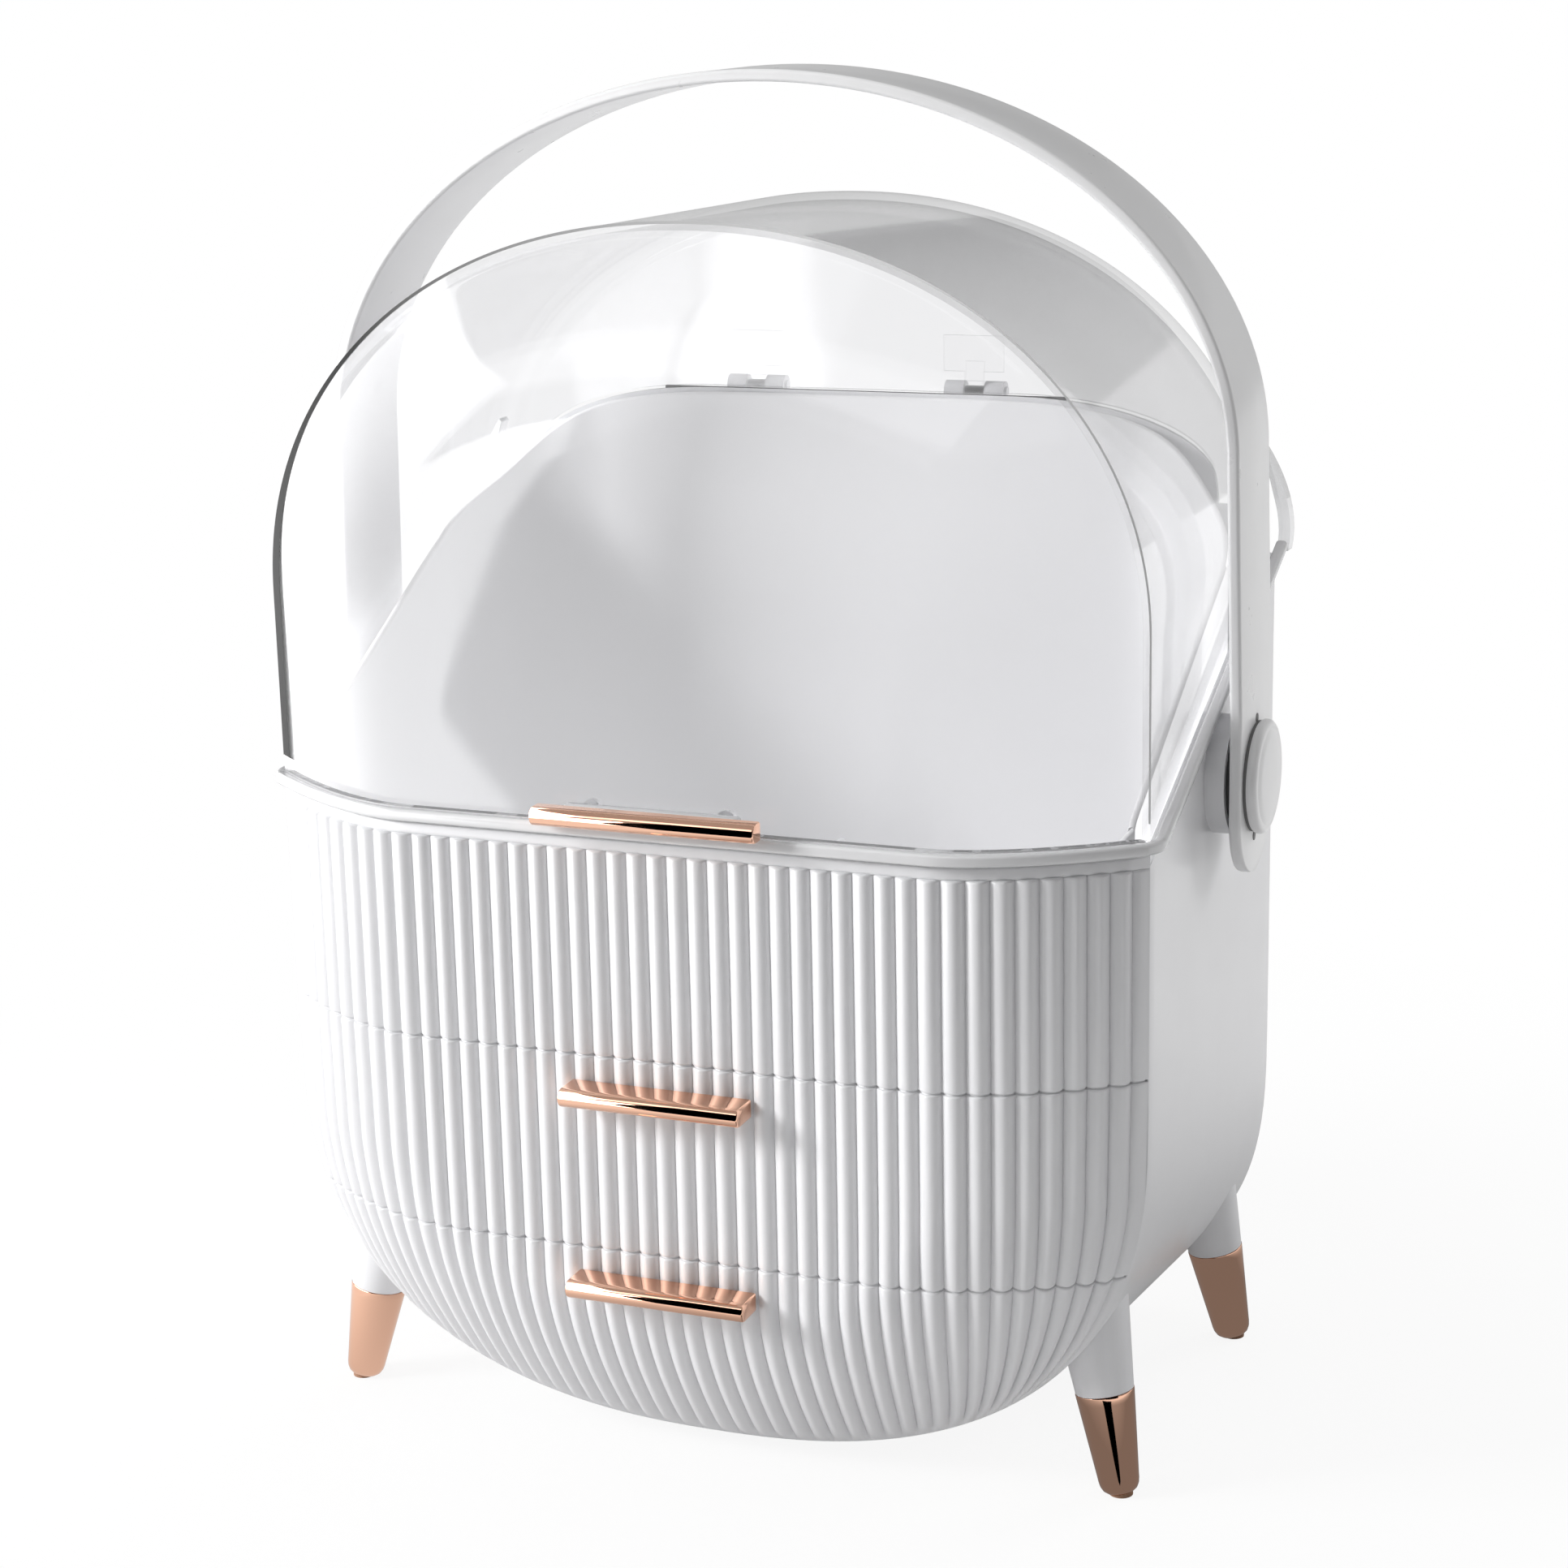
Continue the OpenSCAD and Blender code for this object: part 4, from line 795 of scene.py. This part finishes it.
# the metal tip, and the white cone over it: lowest height, height, lower and upper radius
TIP = [(0.05, 0.35), (2.6, 0.4), (3.9, 0.75), (4.95, 1.6), (5.55, 2.8), (5.82, 4.2)]
TIP += [(5.88 + (8.5 - 5.88) * (h - 5) / 25.6, h) for h in np.linspace(5.4, 30.2, 12)]
TIP += [(8.4, 30.5), (7.8, 30.6), (0.05, 30.6)]
CONE_LOW, CONE_H, CONE_R0, CONE_R1 = 30.65, 41.4, 8.35, 12.3
ALONG = 12
for tag, sx, lx, ly, back in (("fr", 1, 121.3, -43.3, -1), ("fl", -1, 121.3, -43.3, -1),
                              ("rr", 1, 124.6, 71.9, 1), ("rl", -1, 124.6, 71.9, 1)):
    ax = (Matrix.Rotation(back * RAKE, 3, "X") @ Matrix.Rotation(-SPLAY, 3, "Y")
          @ Vector((0, 0, 1)))
    ax.x *= sx
    lathe("leg_tip_" + tag, TIP, (sx * lx, ly, 0), ax, ROSE, "case", "rose_gold",
          ["leg_cap_" + tag])
    # the white cone stops just inside the wall of the case
    rot = Vector((0, 0, 1)).rotation_difference(ax).to_matrix()
    rows = []
    for i in range(AROUND):
        a = 2 * math.pi * i / AROUND
        line = []
        for h in np.linspace(CONE_LOW, 76, 60):
            r = CONE_R0 + (CONE_R1 - CONE_R0) * (h - CONE_LOW) / CONE_H
            q = rot @ Vector((r * math.cos(a), r * math.sin(a), h))
            x, y, z = q.x + sx * lx, q.y + ly, q.z
            line.append((x, y, z))
            if z > 34 and abs(x) < min(body_x(y, z), body_x(y, z - 1.2)) - 0.3:
                break
        line = np.array(line)
        at = np.linspace(0, len(line) - 1, ALONG)
        rows.append(np.stack([np.interp(at, np.arange(len(line)), c) for c in line.T], -1))
    piece("leg_upper_" + tag, np.stack(rows, 1).reshape(-1, 3), tube(ALONG, AROUND), SHELL, "case",
          "shell_white", ["leg_socket_" + tag], sharp=35)


# ---------------------------------------------------------------- floor, light and camera (metres)
def stage_face(name, points, mat):
    me = bpy.data.meshes.new(name)
    me.from_pydata(points, [], [tuple(range(len(points)))])
    me.materials.append(mat)
    o = bpy.data.objects.new(name, me)
    bpy.context.scene.collection.objects.link(o)
    return o


def distance(nt, centre):
    """distance of the point that is shaded from centre"""
    tc = add(nt, "TexCoord")
    off = add(nt, "VectorMath", "SUBTRACT")
    off.inputs[1].default_value = centre
    length = add(nt, "VectorMath", "LENGTH")
    nt.links.new(tc.outputs["Object"], off.inputs[0])
    nt.links.new(off.outputs[0], length.inputs[0])
    return length.outputs["Value"]


# the floor is white to the camera and keeps the shadow close to the case; reflections see it
# white too, with painted shade close to the right legs
floor_mat, nt, b = nodes_of("floor_white")
put(b, Base_Color=(0.9, 0.9, 0.9, 1), Roughness=0.9)
rays = add(nt, "LightPath").outputs
seen = add(nt, "Math", "MULTIPLY")
nt.links.new(greater(nt, rays["Is Camera Ray"], rays["Is Transmission Ray"]), seen.inputs[0])
nt.links.new(ramp(nt, distance(nt, (0, 0, 0)), 0.22, 0.5, 0.9, 1.0), seen.inputs[1])
reflected_floor_shade = add(nt, "Mix")
reflected_floor_shade.inputs[2].default_value = 1.0
nt.links.new(rays["Is Glossy Ray"], reflected_floor_shade.inputs[0])
nt.links.new(ramp(nt, distance(nt, (0.13, 0.02, 0)), 0.10, 0.34, 0.22, 1.0), reflected_floor_shade.inputs[3])
white = add(nt, "Emission", Color=(1, 1, 1, 1))
nt.links.new(reflected_floor_shade.outputs[0], white.inputs["Strength"])
blend_out(nt, greater(nt, seen.outputs[0], rays["Is Glossy Ray"]), b, white)
stage_face("floor", [(-6, -6, 0), (6, -6, 0), (6, 6, 0), (-6, 6, 0)], floor_mat)

world = bpy.data.worlds.new("studio")
bpy.context.scene.world = world
world.use_nodes = True
nt = world.node_tree
light = put(nt.nodes["Background"], Color=(1, 1, 1, 1), Strength=0.41)
backdrop = add(nt, "Background", Color=(1, 1, 1, 1), Strength=1.0)
rays = add(nt, "LightPath").outputs
blend_out(nt, greater(nt, rays["Is Camera Ray"], rays["Is Transmission Ray"]), light, backdrop,
          "World Output")


def lamp(name, at, target, size, power):
    """a square area lamp that neither the camera nor reflections see"""
    data = bpy.data.lights.new(name, "AREA")
    data.shape = "RECTANGLE"
    data.size = data.size_y = size
    data.energy = power
    o = bpy.data.objects.new(name, data)
    bpy.context.scene.collection.objects.link(o)
    o.location = at
    o.rotation_euler = (Vector(target) - Vector(at)).to_track_quat("-Z", "Y").to_euler()
    o.visible_camera = o.visible_glossy = False


lamp("key", (-1.5, -1.0, 0.95), (0, 0, 0.18), 0.6, 34)
lamp("top", (0.1, 0.1, 1.7), (0, 0, 0.2), 1.2, 4.5)
lamp("side", (1.4, 1.9, 0.9), (0, 0, 0.18), 0.9, 17)


def card(name, shade, points):
    """a flat card that only shows in reflections"""
    m, nt, b = nodes_of(name)
    shine = add(nt, "Emission", Color=(shade, shade, shade, 1))
    nt.links.new(shine.outputs[0], nt.nodes["Material Output"].inputs["Surface"])
    o = stage_face(name, points, m)
    o.visible_camera = o.visible_diffuse = o.visible_shadow = False
    o.visible_transmission = o.visible_volume_scatter = False
    return o


def upright(x0, x1, y0, y1, z0, z1):
    return [(x0, y0, z0), (x1, y1, z0), (x1, y1, z1), (x0, y0, z1)]


def at_y(y, *corners):
    return [(x, y, z) for x, z in corners]


card("card_back", 0.0, upright(-1.7, 1.2, 2.4, 2.4, 0.86, 1.55))
card("card_front_near", 0.0,
     at_y(-0.4, (-0.24, 0.14), (-0.12, 0.0), (0.5, 0.0), (0.5, 0.45), (-0.10, 0.45)))
card("card_leg", 0.0, [(0.126, -0.056, 0.0005), (0.139, -0.255, 0.0005), (0.25, -0.21, 0.0005)])
card("card_front_top", 1.9,
     [(-1.4, -1.05, 0.95), (0.5, -1.05, 0.95), (0.5, -0.58, 0.95), (-1.4, -0.58, 0.95)])
card("card_right", 0.3, upright(2.2, 2.2, -0.4, 1.4, 0.0, 1.5))
card("card_left", 5.0, upright(-0.62, -0.62, -0.60, 0.45, 0.0, 0.75))
card("card_left_front", 5.0,
     at_y(-0.6, (-0.62, 0.0), (-0.252, 0.0), (-0.256, 0.055), (-0.262, 0.105), (-0.275, 0.155),
          (-0.30, 0.4), (-0.62, 0.4)))
# a black flag that also takes light away from the rounded right corner of the front
card("flag_right", 0.0, upright(0.25, 0.64, -0.64, -0.27, 0.0, 0.62)).visible_diffuse = True

# the camera, as solved from the photograph
az, el, roll = map(math.radians, (22.105, 14.477, -1.286))
back = Vector((math.sin(az) * math.cos(el), -math.cos(az) * math.cos(el), math.sin(el)))
level_right = Vector((math.cos(az), math.sin(az), 0))
level_up = back.cross(level_right)
right = level_right * math.cos(roll) + level_up * math.sin(roll)
up = -level_right * math.sin(roll) + level_up * math.cos(roll)
lens = bpy.data.cameras.new("camera")
lens.sensor_width = 36
lens.lens = 74.534
camera = bpy.data.objects.new("camera", lens)
bpy.context.scene.collection.objects.link(camera)
pose = Matrix((right, up, back)).transposed().to_4x4()
pose.translation = Vector((0.35254, -0.85386, 0.42553))
camera.matrix_world = pose
bpy.context.scene.camera = camera
bpy.context.scene.view_settings.view_transform = "Standard"
